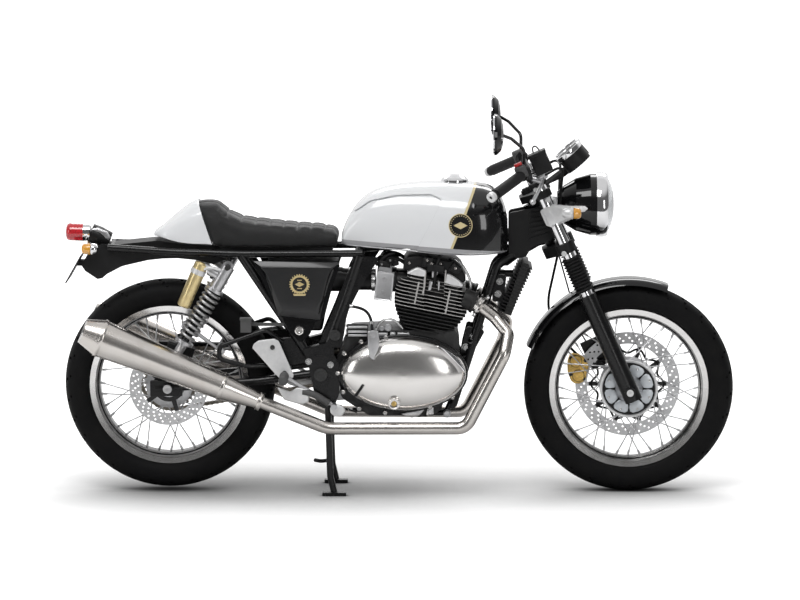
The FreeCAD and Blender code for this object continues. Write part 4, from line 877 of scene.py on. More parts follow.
def buildSeat():
    source = nodes["seat"]
    mesh = source.data.copy()
    piece = bpy.data.objects.new("seatPad", mesh)
    bpy.context.scene.collection.objects.link(piece)
    makeActive(piece)
    applyModifier(piece, "REMESH", mode="VOXEL", voxel_size=seatDetail["voxel"])
    start = [vertex.co.copy() for vertex in piece.data.vertices]
    makeActive(piece)
    cloth = piece.modifiers.new("Cloth", "CLOTH")
    cloth.settings.use_pressure = True
    cloth.settings.uniform_pressure_force = seatDetail["pressure"]
    cloth.settings.effector_weights.gravity = 0.0
    cloth.settings.quality = 5
    cloth.point_cache.frame_start = 1
    cloth.point_cache.frame_end = 20
    for number in range(1, 21):
        bpy.context.scene.frame_set(number)
    makeActive(piece)
    bpy.ops.object.modifier_apply(modifier=cloth.name)
    bpy.context.scene.frame_set(1)
    for vertex, place in zip(piece.data.vertices, start):
        move = vertex.co - place
        if move.length > seatDetail["cap"]:
            vertex.co = place + move.normalized() * seatDetail["cap"]
    applyModifier(piece, "SMOOTH", factor=0.5, iterations=6)
    applyModifier(piece, "SUBSURF", levels=1, render_levels=1)
    piece.data.update()
    low, high = Vector((-0.606, -0.112, 0.757)), Vector((-0.181, 0.112, 0.895))
    normals = [vertex.normal.copy() for vertex in piece.data.vertices]
    for vertex, normal in zip(piece.data.vertices, normals):
        x, y, z = vertex.co
        top = min(1.0, max(0.0, (normal.z - 0.15) / 0.35))
        edge = min(1.0, max(0.0, (0.088 - abs(y)) / 0.02))
        # the run along the seat's top line decides where a channel falls
        run = (x + 0.181) if x > -0.52 else (-0.52 + 0.181) - (z - 0.852) * 0.9
        offset = (run / seatDetail["channelEvery"]) % 1.0
        nearness = min(offset, 1 - offset) * seatDetail["channelEvery"]
        sink = math.exp(-(nearness / seatDetail["channelWidth"]) ** 2)
        puff = seatDetail["puff"] * math.cos(math.pi * min(1.0, nearness / (seatDetail["channelEvery"] / 2)))
        # two sewn lines run the length of the seat
        rows = min(abs(abs(y) - 0.03), 0.05)
        sink = max(sink, math.exp(-(rows / seatDetail["channelWidth"]) ** 2))
        amount = top * edge * (sink * seatDetail["channelDepth"] + puff - seatDetail["puff"])
        vertex.co = vertex.co - normal * amount
    for vertex in piece.data.vertices:
        for axis in range(3):
            vertex.co[axis] = min(high[axis] + 0.004, max(low[axis] - 0.001, vertex.co[axis]))
    fitted(piece, "seatPad", "chassis", "leather", 60)
    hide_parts("seat")


buildSeat()
print("seat built")


lampDetail = {"centre": (0.597, 0, 0.877)}


def buildHeadlamp():
    centre = lampDetail["centre"]
    glass = spunPiece([(0.0001, 0.0535), (0.02, 0.053), (0.04, 0.0505), (0.06, 0.0455), (0.075, 0.0385),
                       (0.0835, 0.032), (0.085, 0.0295), (0.0835, 0.0265), (0.074, 0.0345), (0.059, 0.0418),
                       (0.04, 0.047), (0.02, 0.0495), (0.0001, 0.05)], centre, (1, 0, 0), 96)
    fitted(glass, "lampGlassDome", "steering", "lampGlass", 50)
    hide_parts("headlamp_lens")
    bowl = spunPiece([(0.012, 0.004), (0.03, 0.0055), (0.05, 0.0105), (0.068, 0.0185), (0.0825, 0.029),
                      (0.0845, 0.029), (0.0845, 0.0265), (0.07, 0.015), (0.052, 0.0075), (0.03, 0.0025),
                      (0.012, 0.0015)], centre, (1, 0, 0), 96)
    fitted(bowl, "lampReflector", "steering", "chrome", 50)
    cap = spunPiece([(0.0001, 0.034), (0.01, 0.033), (0.015, 0.028), (0.016, 0.014), (0.0145, 0.002),
                     (0.0001, 0.002)], centre, (1, 0, 0), 48)
    fitted(cap, "lampBulbCap", "steering", "chrome", 50)
    # the stepped bezel round the glass
    bezel = spunPiece([(0.0855, 0.03), (0.0875, 0.0335), (0.0925, 0.0345), (0.0965, 0.03), (0.0985, 0.02),
                       (0.0988, 0.008), (0.0975, 0.0005), (0.0945, 0.0002), (0.0945, 0.004), (0.094, 0.024),
                       (0.0875, 0.0285)], centre, (1, 0, 0), 96)
    fitted(bezel, "lampBezel", "steering", "chrome", 50)
    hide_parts("headlamp_ring")


buildHeadlamp()
print("headlamp built")


def trayPiece(outline, low, high, rim, sink, bevel=0.0012):
    # a plate whose outer face is let in by sink, leaving a rim all round
    piece = platePiece(outline, low, high, 0)
    bpy.ops.object.mode_set(mode="EDIT")
    bpy.ops.mesh.select_mode(type="FACE")
    bpy.ops.mesh.select_all(action="DESELECT")
    bpy.ops.object.mode_set(mode="OBJECT")
    outer = min(polygon.center.y for polygon in piece.data.polygons)
    for polygon in piece.data.polygons:
        polygon.select = abs(polygon.center.y - outer) < 0.0001
    bpy.ops.object.mode_set(mode="EDIT")
    bpy.ops.mesh.inset(thickness=rim)
    bpy.ops.transform.translate(value=(0, sink, 0))
    facesOutwards(piece)
    applyModifier(piece, "BEVEL", width=bevel, segments=2, limit_method="ANGLE")
    return piece


def ovalPoints(centre, halfLong, halfHigh, start=0, end=360, steps=72):
    closed = end - start >= 360
    count = steps if closed else steps + 1
    points = []
    for k in range(count):
        angle = math.radians(start + (end - start) * k / steps)
        points.append((centre[0] + halfLong * math.cos(angle), centre[1] + halfHigh * math.sin(angle)))
    return points


def capPiece(place, direction, radius, height, dish=0.3):
    # a round cap with a soft edge and a dished face
    lip = min(radius, height) * 0.25
    profile = [(0.0001, height * (1 - dish)), (radius * 0.55, height * (1 - dish)), (radius * 0.62, height),
               (radius - lip, height), (radius, height - lip), (radius, 0), (0.0001, 0)]
    return spunPiece(profile, place, direction, 40)


engineDetail = {
    "coverCentre": (0.014, 0.3787), "coverHalf": (0.189, 0.111),
    "lugs": [(-0.1134, 0.4765), (-0.038, 0.4885), (0.0283, 0.4795), (0.0916, 0.4644), (0.1579, 0.4313),
             (0.1911, 0.3679), (0.1624, 0.3077), (0.0946, 0.276), (-0.0411, 0.2594), (-0.1194, 0.2715),
             (-0.1677, 0.3227), (-0.1842, 0.38), (-0.1647, 0.4403)],
    "leftCentre": (0.066, 0.38), "leftHalf": (0.128, 0.104), "leftBolts": 9,
    "filler": (-0.0132, 0.2948),
    "arm": [(-0.093, 0.516), (-0.06, 0.516), (-0.057, 0.49), (-0.061, 0.46), (-0.076, 0.429), (-0.088, 0.438),
            (-0.092, 0.47)],
}


def buildCoverTrim():
    centre, half = engineDetail["coverCentre"], engineDetail["coverHalf"]
    # a black band round the foot of the cover: the joint's own dark line, with painted shade of the gap round the
    # cover
    rim = platePiece(ovalPoints(centre, half[0] + 0.006, half[1] + 0.006), -0.138, -0.107, 0.003, 3)
    fitted(rim, "coverFootBand", "chassis", "frameBlack", 40)
    lugs = [spunPiece([(0.0001, -0.152), (0.0045, -0.152), (0.0065, -0.15), (0.0075, -0.12), (0.0075, -0.106),
                       (0.0001, -0.106)], (x, 0, z), (0, 1, 0), 20) for x, z in engineDetail["lugs"]]
    fitted(joinPieces(lugs), "coverLugs", "chassis", "polishedAlloy", 40)
    heads = copiesJoined(screwHead(0.0042, 0.0035), [facing((x, -0.1515, z), (0, -1, 0))
                                                     for x, z in engineDetail["lugs"]])
    fitted(heads, "coverScrews", "chassis", "spokeSteel")
    outer = ovalPoints(centre, half[0] * 0.985, half[1] * 0.985, 4, 56, 24)
    inner = []
    for k in range(25):
        share = 0.985 - 0.075 * math.sin(math.pi * k / 24)
        inner.append(ovalPoints(centre, half[0] * share, half[1] * share, 56 - 52 * k / 24, 57 - 52 * k / 24,
                                1)[0])
    ledge = platePiece(outer + inner[1:-1], -0.1845, -0.15, 0.002, 3)
    fitted(ledge, "coverLedge", "chassis", "chrome", 50)
    x, z = engineDetail["filler"]
    plug = spunPiece([(0.0001, 0.0005), (0.008, 0.0005), (0.009, 0.003), (0.0125, 0.0035), (0.0135, 0.0065),
                      (0.0165, 0.0065), (0.018, 0.004), (0.0185, -0.006), (0.0001, -0.006)], (x, -0.194, z),
                     (0, -1, 0), 48)
    fitted(plug, "oilFiller", "chassis", "polishedAlloy", 40)
    sight = spunPiece([(0.0001, 0.004), (0.005, 0.0035), (0.0078, 0.002), (0.0078, -0.002), (0.0001, -0.002)],
                      (x, -0.1945, z), (0, -1, 0), 32)
    fitted(sight, "oilSight", "chassis", "goldMetal", 40)
    slot = platePiece([(-0.112, 0.3505), (-0.105, 0.346), (-0.1255, 0.316), (-0.1325, 0.3205)], -0.1935, -0.184,
                      0.001)
    fitted(slot, "coverSlot", "chassis", "satinBlack")
    arm = platePiece(engineDetail["arm"], -0.201, -0.186, 0.004, 4)
    boss = capPiece((-0.0765, -0.198, 0.506), (0, -1, 0), 0.0125, 0.006)
    fitted(joinPieces([arm, boss]), "clutchArmCover", "chassis", "hubAlloy", 40)
    # the left cover: a joint, its bolts and a round inspection cap
    centre, half = engineDetail["leftCentre"], engineDetail["leftHalf"]
    joint = platePiece(ovalPoints(centre, half[0] + 0.005, half[1] + 0.005), 0.107, 0.132, 0.003, 3)
    fitted(joint, "leftCoverJoint", "chassis", "frameBlack", 40)
    places = ovalPoints(centre, half[0] + 0.003, half[1] + 0.003, 10, 370, engineDetail["leftBolts"])
    bosses = [spunPiece([(0.0001, 0.106), (0.0078, 0.106), (0.0078, 0.136), (0.0065, 0.139), (0.0001, 0.139)],
                        (x, 0, z), (0, 1, 0), 20) for x, z in places]
    fitted(joinPieces(bosses), "leftCoverLugs", "chassis", "polishedAlloy", 40)
    heads = copiesJoined(screwHead(0.0045, 0.0035), [facing((x, 0.1385, z), (0, 1, 0)) for x, z in places])
    fitted(heads, "leftCoverScrews", "chassis", "spokeSteel")
    cap = spunPiece([(0.0001, 0.004), (0.018, 0.004), (0.02, 0.006), (0.034, 0.006), (0.037, 0.003),
                     (0.038, -0.006), (0.0001, -0.006)], (0.07, 0.1635, 0.385), (0, 1, 0), 64)
    fitted(cap, "inspectionCap", "chassis", "polishedAlloy", 40)


def buildEngineSide():
    plate = trayPiece([(-0.066, 0.684), (-0.0135, 0.678), (-0.022, 0.592), (-0.076, 0.598)], -0.099, -0.07,
                      0.0045, 0.003, 0.0015)
    knobs = [capPiece((-0.042, -0.0955, 0.66), (0, -1, 0), 0.006, 0.003),
             capPiece((-0.048, -0.0955, 0.622), (0, -1, 0), 0.004, 0.003)]
    fitted(onBothSides(joinPieces([plate] + knobs)), "throttleCovers", "chassis", "hubAlloy", 35)
    clamps = [spunPiece([(0.0278, -0.005), (0.0292, -0.005), (0.0292, 0.005), (0.0278, 0.005)],
                        (x, -0.056, 0.648),
                        (1, 0, 0), 48) for x in (-0.078, -0.15)]
    fitted(onBothSides(joinPieces(clamps)), "intakeClamps", "chassis", "spokeSteel", 35)
    hose = tubeAlong([(-0.146, -0.116, 0.58), (-0.128, -0.12, 0.579), (-0.1, -0.122, 0.569),
                      (-0.086, -0.124, 0.55), (-0.081, -0.128, 0.525), (-0.08, -0.14, 0.512)], 0.0045)
    fitted(facesOutwards(hose), "clutchCable", "chassis", "gripRubber", 50)
    ferrules = [spunPiece([(0.0001, 0), (0.006, 0), (0.0065, 0.002), (0.0065, 0.016), (0.005, 0.019),
                           (0.0001, 0.019)], (-0.082, -0.126, 0.536), (0.05, -0.1, -1), 24),
                spunPiece([(0.0001, 0), (0.006, 0), (0.006, 0.01), (0.0001, 0.01)], (-0.148, -0.116, 0.5802),
                          (1, 0, 0), 24)]
    fitted(joinPieces(ferrules), "cableFerrules", "chassis", "spokeSteel", 40)
    guard = tubeAlong([(-0.07, -0.112, 0.506), (-0.062, -0.114, 0.526), (-0.045, -0.116, 0.54),
                       (-0.028, -0.117, 0.543), (-0.006, -0.116, 0.535), (0.012, -0.112, 0.512)], 0.0035)
    fitted(facesOutwards(guard), "silverArc", "chassis", "spokeSteel", 50)
    fins = [boxPiece((-0.124, -0.1325, z), (0.058, 0.006, 0.0065), 0.0015) for z in (0.494, 0.505, 0.519)]
    ends = [capPiece((-0.156, -0.112, 0.507), (-1, 0, 0), 0.0175, 0.004)]
    fitted(joinPieces(fins + ends), "starterRibs", "chassis", "hubAlloy", 35)
    bits = [boxPiece((-0.047, -0.112, 0.494), (0.028, 0.02, 0.011), 0.002),
            boxPiece((-0.018, -0.112, 0.493), (0.016, 0.024, 0.017), 0.003),
            boxPiece((0.014, -0.112, 0.495), (0.036, 0.02, 0.01), 0.002),
            capPiece((-0.032, -0.12, 0.516), (0, -1, 0), 0.011, 0.006),
            capPiece((-0.051, -0.116, 0.513), (0, -1, 0), 0.007, 0.006)]
    fitted(joinPieces(bits), "caseFittings", "chassis", "hubAlloy", 35)
    wedge = platePiece([(0.0065, 0.254), (0.077, 0.266), (0.064, 0.249), (0.04, 0.241), (0.0235, 0.245)],
                       -0.126, -0.104, 0.002)
    lug = capPiece((0.146, -0.104, 0.2526), (0, -1, 0), 0.0115, 0.02)
    strut = platePiece([(0.088, 0.276), (0.104, 0.282), (0.106, 0.25), (0.082, 0.248)], -0.12, -0.104, 0.002)
    fitted(joinPieces([wedge, lug, strut]), "sumpFittings", "chassis", "hubAlloy", 35)
    bolts = copiesJoined(hexHead(0.008, 0.008), [facing(place, (0, side, 0)) for side in (-1, 1) for place in (
        (0.2021, 0.063 * side, 0.4493), (0.225, 0.063 * side, 0.482), (0.204, 0.063 * side, 0.409),
        (0.305, 0.066 * side, 0.65), (0.3, 0.066 * side, 0.612))])
    fitted(bolts, "engineMountBolts", "chassis", "spokeSteel")


buildCoverTrim()
buildEngineSide()
print("engine trim built")


# the finned cylinder block, its rows leaning down towards the front
finDetail = {
    "lean": 11.4, "origin": (0.09, 0.5685), "pitch": 0.0109, "thick": 0.003, "corner": 0.024,
    "notch": (0.076, 0.138),
    "rows": {-6: (0.012, 0.128, 0.112), -5: (0.004, 0.154, 0.114), -4: (-0.003, 0.169, 0.116),
             -3: (-0.008, 0.181, 0.118), -2: (-0.012, 0.189, 0.119), -1: (-0.0145, 0.196, 0.12),
             0: (-0.0155, 0.203, 0.122), 1: (-0.0155, 0.207, 0.122), 2: (-0.015, 0.208, 0.122),
             3: (-0.014, 0.208, 0.122), 4: (-0.012, 0.208, 0.122), 5: (-0.009, 0.207, 0.122),
             6: (-0.004, 0.205, 0.122), 7: (0.004, 0.203, 0.122), 8: (0.024, 0.196, 0.121)},
}


def finPlace(row):
    x, z = finDetail["origin"]
    lean = math.radians(finDetail["lean"])
    up = row * finDetail["pitch"]
    return (Matrix.Translation((x + up * math.sin(lean), 0, z + up * math.cos(lean)))
            @ Matrix.Rotation(lean, 4, "Y"))


def finOutline(row, grow=0.0):
    # rounded corners, and from row one up a notch in each side for the plug's well
    rear, front, half = finDetail["rows"][row]
    x0 = finDetail["origin"][0] + row * finDetail["pitch"] * math.sin(math.radians(finDetail["lean"]))
    rear, front, half, corner = rear - x0 - grow, front - x0 + grow, half + grow, finDetail["corner"]
    points = []
    for x, y, start in ((front - corner, half - corner, 0), (rear + corner, half - corner, 90),
                        (rear + corner, corner - half, 180), (front - corner, corner - half, 270)):
        for k in range(7):
            angle = math.radians(start + 15 * k)
            points.append((x + corner * math.cos(angle), y + corner * math.sin(angle)))
        if row > 0 and start in (0, 180):
            depth = 0.01 if row < 5 else 0.036
            low, high = finDetail["notch"][0] - x0 + grow, finDetail["notch"][1] - x0 - grow
            ends, side = ((high, low), 1) if start == 0 else ((low, high), -1)
            points += [(ends[0], side * half), (ends[0], side * (half - depth)),
                       (ends[1], side * (half - depth)),
                       (ends[1], side * half)]
    return points


def finPlate(row, thick, grow=0.0, bevel=0.0):
    piece = slabPiece([(x, y, -thick / 2) for x, y in finOutline(row, grow)], (0, 0, thick), bevel, 1)
    piece.data.transform(finPlace(row))
    return piece


def leaningBlock(low, high, rowFrom, rowTo, half, bevel):
    # a bevelled block between two rows, leaning with them
    x = finDetail["origin"][0]
    first, last = rowFrom * finDetail["pitch"], rowTo * finDetail["pitch"]
    piece = boxPiece(((low + high) / 2 - x, 0, (first + last) / 2), (high - low, 2 * half, last - first),
                     bevel, 4)
    piece.data.transform(finPlace(0))
    return piece


def buildCylinders():
    rows = sorted(finDetail["rows"])
    head = [finPlate(row, finDetail["thick"], bevel=0.0004) for row in rows if row > 0]
    barrel = [finPlate(row, finDetail["thick"], bevel=0.0004) for row in rows if row <= 0]
    head.append(leaningBlock(0.008, 0.178, 0.4, 9.6, 0.084, 0.012))
    head.append(leaningBlock(0.018, 0.066, 0.4, 9.3, 0.112, 0.01))
    head.append(leaningBlock(0.136, 0.172, 0.4, 8.6, 0.112, 0.01))
    for y in (-0.056, 0.056):
        head.append(spunPiece([(0.0001, 0.0), (0.028, 0.0), (0.031, 0.004), (0.031, 0.012), (0.027, 0.016),
                               (0.026, 0.05), (0.0001, 0.05)], (-0.0225, y, 0.648), (1, 0, 0), 40))
    for y in (-0.1, 0.1):
        head.append(spunPiece([(0.0001, 0.0), (0.03, 0.0), (0.031, 0.006), (0.031, 0.03), (0.034, 0.034),
                               (0.034, 0.04), (0.0001, 0.04)], (0.193, y, 0.605), (0.92, 0, -0.38), 40))
    headPiece = facesOutwards(joinPieces(head))
    fitted(headPiece, "headFins", "chassis", "finBlack", 35)
    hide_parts("cylinder_head")
    barrel.append(leaningBlock(0.01, 0.166, -6.9, 0.6, 0.09, 0.02))
    barrelPiece = facesOutwards(joinPieces(barrel))
    fitted(barrelPiece, "barrelFins", "chassis", "finBlack", 35)
    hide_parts("cylinder_barrel")
    edges = [finPlate(row, 0.0022, 0.0004) for row in rows if row >= 0]
    # anti-ringing posts, the wells' bright walls and the machined caps of the head
    for x, low, high in ((0.0445, 1.0, 7.2), (0.1415, 0.0, 6.6)):
        up = (low + high) / 2 * finDetail["pitch"]
        for side in (-1, 1):
            post = boxPiece((x - finDetail["origin"][0], side * 0.1165, up),
                            (0.005, 0.0125, (high - low) * finDetail["pitch"]), 0.0012, 2)
            post.data.transform(finPlace(0))
            edges.append(post)
    for outline in ([(0.0775, 0.688), (0.0832, 0.688), (0.0795, 0.64), (0.0752, 0.6164), (0.07, 0.6164),
                     (0.0738, 0.64)], [(0.1395, 0.69), (0.144, 0.688), (0.141, 0.651), (0.1372, 0.651)]):
        edges += [platePiece(outline, -0.1232, -0.098, 0.001), platePiece(outline, 0.098, 0.1232, 0.001)]
    fitted(joinPieces(edges), "finEdges", "chassis", "finEdge", 35)
    caps = [platePiece([(0.0238, 0.68), (0.03, 0.685), (0.0498, 0.6955), (0.0568, 0.6975), (0.064, 0.6965),
                        (0.0828, 0.688), (0.0793, 0.6702), (0.06, 0.6725), (0.0394, 0.6765)], -0.1235, -0.092,
                       0.005, 4),
            platePiece([(0.1453, 0.679), (0.158, 0.674), (0.1696, 0.6672), (0.184, 0.656), (0.1938, 0.6459),
                        (0.1921, 0.6395), (0.165, 0.644), (0.1401, 0.6511)], -0.1235, -0.092, 0.005, 4)]
    fitted(onBothSides(joinPieces(caps)), "headCaps", "chassis", "brightAlloy", 50)
    well = [platePiece([(0.099, 0.7014), (0.1227, 0.6997), (0.1158, 0.6737), (0.0993, 0.665)], -0.112, -0.098,
                       0.003),
            platePiece([(0.0915, 0.6563), (0.1028, 0.6555), (0.0965, 0.6286), (0.0885, 0.6286)], -0.114, -0.1,
                       0.002),
            platePiece([(0.1172, 0.6598), (0.1244, 0.6529), (0.122, 0.6286), (0.118, 0.6286)], -0.114, -0.1,
                       0.002)]
    fitted(onBothSides(joinPieces(well)), "plugParts", "chassis", "hubAlloy", 35)
    plug = [tubeAlong([(0.108, -0.098, 0.64), (0.108, -0.112, 0.664), (0.113, -0.112, 0.7),
                       (0.125, -0.1, 0.735)], 0.0048)]
    fitted(onBothSides(joinPieces(plug)), "plugLeads", "chassis", "gripRubber", 50)
    cover = platePiece([(0.012, 0.688), (0.0145, 0.713), (0.0238, 0.726), (0.037, 0.729), (0.055, 0.731),
                        (0.09, 0.7305), (0.1054, 0.7235), (0.1349, 0.7188), (0.16, 0.7145), (0.176, 0.7075),
                        (0.1869, 0.698), (0.1991, 0.6737), (0.203, 0.656), (0.195, 0.648), (0.17, 0.656),
                        (0.15, 0.664), (0.138, 0.68), (0.082, 0.68), (0.05, 0.686)], -0.098, 0.098,
                       0.006, 3)
    fitted(cover, "rockerBox", "chassis", "satinBlack", 40)
    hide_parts("rocker_cover")
    lips = [platePiece([(0.086, 0.688), (0.135, 0.684), (0.137, 0.704), (0.086, 0.71)], -0.124, -0.096, 0.003),
            platePiece([(0.07, 0.7), (0.1, 0.7), (0.104, 0.726), (0.074, 0.729)], -0.116, -0.096, 0.004),
            platePiece([(0.15, 0.69), (0.176, 0.676), (0.19, 0.69), (0.166, 0.711)], -0.112, -0.096, 0.004)]
    fitted(onBothSides(joinPieces(lips)), "rockerLips", "chassis", "satinBlack", 40)
    places = ((0.0854, 0.1155, 0.7205), (0.0984, 0.1155, 0.711), (0.17, 0.1115, 0.6955),
              (0.031, 0.0975, 0.71), (0.125, 0.0975, 0.708))
    heads = copiesJoined(screwHead(0.0042, 0.004), [facing((x, side * y, z), (0, side, 0)) for side in (-1, 1)
                                                    for x, y, z in places])
    fitted(heads, "rockerScrews", "chassis", "polishedAlloy")
    breather = tubeAlong([(0.15, -0.07, 0.716), (0.166, -0.09, 0.7235), (0.1904, -0.102, 0.7065),
                          (0.206, -0.104, 0.6806), (0.215, -0.104, 0.6598), (0.217, -0.1, 0.64),
                          (0.215, -0.094, 0.622)], 0.0042)
    fitted(facesOutwards(breather), "rockerPipe", "chassis", "spokeSteel", 50)


buildCylinders()
print("cylinders built")


coverProfile = [(0.0001, 0.196), (0.2, 0.1955), (0.4, 0.1935), (0.55, 0.19), (0.68, 0.1855), (0.78, 0.18),
                (0.86, 0.1735), (0.92, 0.167), (0.96, 0.161), (0.985, 0.154), (1.0, 0.146), (1.0, 0.105),
                (0.0001, 0.105)]


def buildCoverDome():
    x, z = engineDetail["coverCentre"]
    dome = spunPiece(coverProfile, (0, 0, 0), (0, 0, 1), 120)
    dome.data.transform(Matrix.Diagonal((*engineDetail["coverHalf"], 1, 1)))
    turnTowards(dome, (x, 0, z), (0, -1, 0))
    fitted(facesOutwards(dome), "coverDome", "chassis", "polishedAlloy", 60)
    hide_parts("right_engine_cover")


buildCoverDome()
print("cover dome built")


exhaustDetail = {"start": (-0.412, 0.178, 0.296), "tip": (-0.948, 0.2, 0.516), "port": (0.236, 0.1, 0.588),
                 "bend": (0.29, 0.106, 0.545)}


def buildExhaustTrim():
    start, tip = Vector(exhaustDetail["start"]), Vector(exhaustDetail["tip"])
    along = (tip - start).normalized()
    length = (tip - start).length
    rings = []
    for low, high, first, last in ((0.001, 0.013, 0.0262, 0.0268), (0.122, 0.134, 0.0402, 0.0412),
                                   (length - 0.066, length - 0.054, 0.0568, 0.0568)):
        rings.append(spunPiece([(first - 0.004, low), (first + 0.0012, low), (first + 0.0022, low + 0.0015),
                                (last + 0.0022, high - 0.0015), (last + 0.0012, high), (last - 0.004, high)],
                               start, along, 72))
    fitted(onBothSides(joinPieces(rings)), "silencerBands", "chassis", "stainless", 40)
    mouth = spunPiece([(0.0375, length - 0.012), (0.0385, length - 0.001), (0.0365, length + 0.001),
                       (0.0315, length + 0.0005), (0.0298, length - 0.004), (0.0298, length - 0.03),
                       (0.0318, length - 0.03)], start, along, 72)
    fitted(onBothSides(mouth), "silencerMouths", "chassis", "polishedAlloy", 40)
    baffle = spunPiece([(0.0001, length - 0.05), (0.0298, length - 0.05), (0.0298, length - 0.054),
                        (0.0001, length - 0.054)], start, along, 48)
    fitted(onBothSides(baffle), "silencerBaffles", "chassis", "satinBlack", 40)
    port, bend = Vector(exhaustDetail["port"]), Vector(exhaustDetail["bend"])
    heading = (bend - port).normalized()
    collar = spunPiece([(0.0205, 0.000), (0.03, 0.000), (0.0315, 0.002), (0.0315, 0.006), (0.0275, 0.008),
                        (0.0275, 0.011), (0.0315, 0.013), (0.0315, 0.017), (0.0275, 0.019), (0.0245, 0.022),
                        (0.0205, 0.024)], port - heading * 0.004, heading, 64)
    fitted(onBothSides(collar), "exhaustCollars", "chassis", "polishedAlloy", 35)
    sideways = heading.cross(Vector((0, 1, 0))).normalized()
    nuts = copiesJoined(hexHead(0.006, 0.01), [facing(port + heading * 0.01 + sideways * (0.033 * turn),
                                                      heading) for turn in (-1, 1)])
    fitted(onBothSides(nuts), "exhaustNuts", "chassis", "spokeSteel", 35)


buildExhaustTrim()
print("exhaust trim built")


def bevelledPanel(outer, inner, low, rim, high, bevel=0.0015):
    # a closed panel: the outer outline from low to rim, then a slope to the inner outline at high
    count = len(outer)
    piece = flatFace(count, 0.01)
    extrudeBy(0, 0, 0.01)
    extrudeBy(0, 0, 0.01)
    bpy.ops.object.mode_set(mode="OBJECT")
    rings = {0: (outer, low), 1: (outer, rim), 2: (inner, high)}
    order = {level: [v for v in piece.data.vertices if round(v.co.z / 0.01) == level] for level in rings}
    first = sorted(order[0], key=lambda v: v.index)
    spots = [(v.co.x, v.co.y) for v in first]
    for level, (outline, across) in rings.items():
        for vertex in order[level]:
            k = min(range(count), key=lambda n: (spots[n][0] - vertex.co.x) ** 2 + (spots[n][1] - vertex.co.y) ** 2)
            vertex.co = (outline[k][0], across, outline[k][1])
    facesOutwards(piece)
    if bevel:
        applyModifier(piece, "BEVEL", width=bevel, segments=3, limit_method="ANGLE",
                      angle_limit=math.radians(12))
    return piece


panelDetail = {
    "outer": [(-0.4393, 0.7208), (-0.175, 0.7152), (-0.1955, 0.7008), (-0.2063, 0.6828), (-0.2219, 0.6155),
              (-0.2375, 0.5411), (-0.3624, 0.5543), (-0.3852, 0.6275), (-0.4057, 0.6876), (-0.4189, 0.7068)],
    "inner": [(-0.4103, 0.7006), (-0.2013, 0.6997), (-0.2085, 0.6881), (-0.2157, 0.6713), (-0.2325, 0.6065),
              (-0.2506, 0.5669), (-0.3502, 0.5717), (-0.3754, 0.6305), (-0.3971, 0.6809), (-0.4043, 0.6917)],
    "badge": (-0.298, 0.651), "badgeRadius": 0.0275, "teeth": 24, "bolt": (-0.3003, 0.5086),
}


def buildSidePanels():
    face = bevelledPanel(panelDetail["outer"], panelDetail["inner"], -0.138, -0.1415, -0.1505)
    fitted(onBothSides(face), "sidePanelFaces", "chassis", "panelBlack", 20)
    x, z = panelDetail["badge"]
    radius = panelDetail["badgeRadius"]
    ring = spunPiece([(radius - 0.006, 0), (radius - 0.006, 0.0022), (radius - 0.0045, 0.0028),
                      (radius - 0.0015, 0.0028), (radius, 0.0022), (radius, 0)], (x, -0.15, z), (0, -1, 0), 72)
    parts = [ring]
    tooth = boxPiece((0, 0, 0), (0.0034, 0.0024, 0.0042), 0.0005, 2)
    matrices = [Matrix.Translation((x, -0.1512, z)) @ Matrix.Rotation(2 * math.pi * k / panelDetail["teeth"],
                                                                      4, "Y")
                @ Matrix.Translation((0, 0, radius + 0.0014)) for k in range(panelDetail["teeth"])]
    parts.append(copiesJoined(tooth, matrices))
    # a plain lozenge and bars inside the ring, and a plain band below it
    parts.append(platePiece([(x - 0.0145, z), (x, z + 0.0075), (x + 0.0145, z), (x, z - 0.0075)], -0.1528,
                            -0.15, 0.0008))
    for lift in (-0.0125, 0.0125):
        parts.append(boxPiece((x, -0.1512, z + lift), (0.014, 0.0026, 0.0026), 0.0006, 2))
    parts.append(platePiece([(x - 0.02, z - 0.0285), (x + 0.02, z - 0.0285), (x + 0.017, z - 0.0345),
                             (x - 0.017, z - 0.0345)], -0.1532, -0.15, 0.0008))
    fitted(onBothSides(joinPieces(parts)), "panelBadges", "chassis", "brassTrim", 35)
    x, z = panelDetail["bolt"]
    knob = spunPiece([(0.0001, 0.0045), (0.005, 0.0045), (0.0056, 0.006), (0.009, 0.006), (0.0105, 0.0078),
                      (0.013, 0.0072), (0.0142, 0.005), (0.0142, -0.006), (0.0001, -0.006)], (x, -0.133, z),
                     (0, -1, 0), 48)
    fitted(onBothSides(knob), "panelKnobs", "chassis", "polishedAlloy", 40)


buildSidePanels()


frameDetail = {"caps": [(-0.1923, 0.4947, 0.0165, 0.1385), (-0.236, 0.374, 0.02, 0.1405)]}


def buildFrameTrim():
    caps = [capPiece((x, -y, z), (0, -1, 0), radius, 0.004, 0.5) for x, z, radius, y in frameDetail["caps"]]
    fitted(onBothSides(joinPieces(caps)), "frameCaps", "chassis", "castDark", 40)
    nuts = copiesJoined(hexHead(0.0075, 0.008), [facing(place, (0, -1, 0)) for place in (
        (-0.396, -0.1345, 0.452), (-0.352, -0.1345, 0.412), (-0.272, -0.1345, 0.414), (-0.215, -0.1355, 0.29),
        (-0.206, -0.1345, 0.404))])
    fitted(onBothSides(nuts), "plateBolts", "chassis", "spokeSteel")
    # the tie bar beside the shock, with an eye at each end
    bar = tubeAlong([(-0.64, -0.128, 0.523), (-0.61, -0.128, 0.5), (-0.575, -0.128, 0.474),
                     (-0.54, -0.128, 0.447)], 0.0058)
    eyes = [spunPiece([(0.0045, -0.006), (0.011, -0.006), (0.012, -0.004), (0.012, 0.004), (0.011, 0.006),
                       (0.0045, 0.006)], place, (0, 1, 0), 32)
            for place in ((-0.643, -0.128, 0.5255), (-0.537, -0.128, 0.4445))]
    fitted(facesOutwards(joinPieces([bar] + eyes)), "brakeTieBar", "chassis", "hubAlloy", 45)


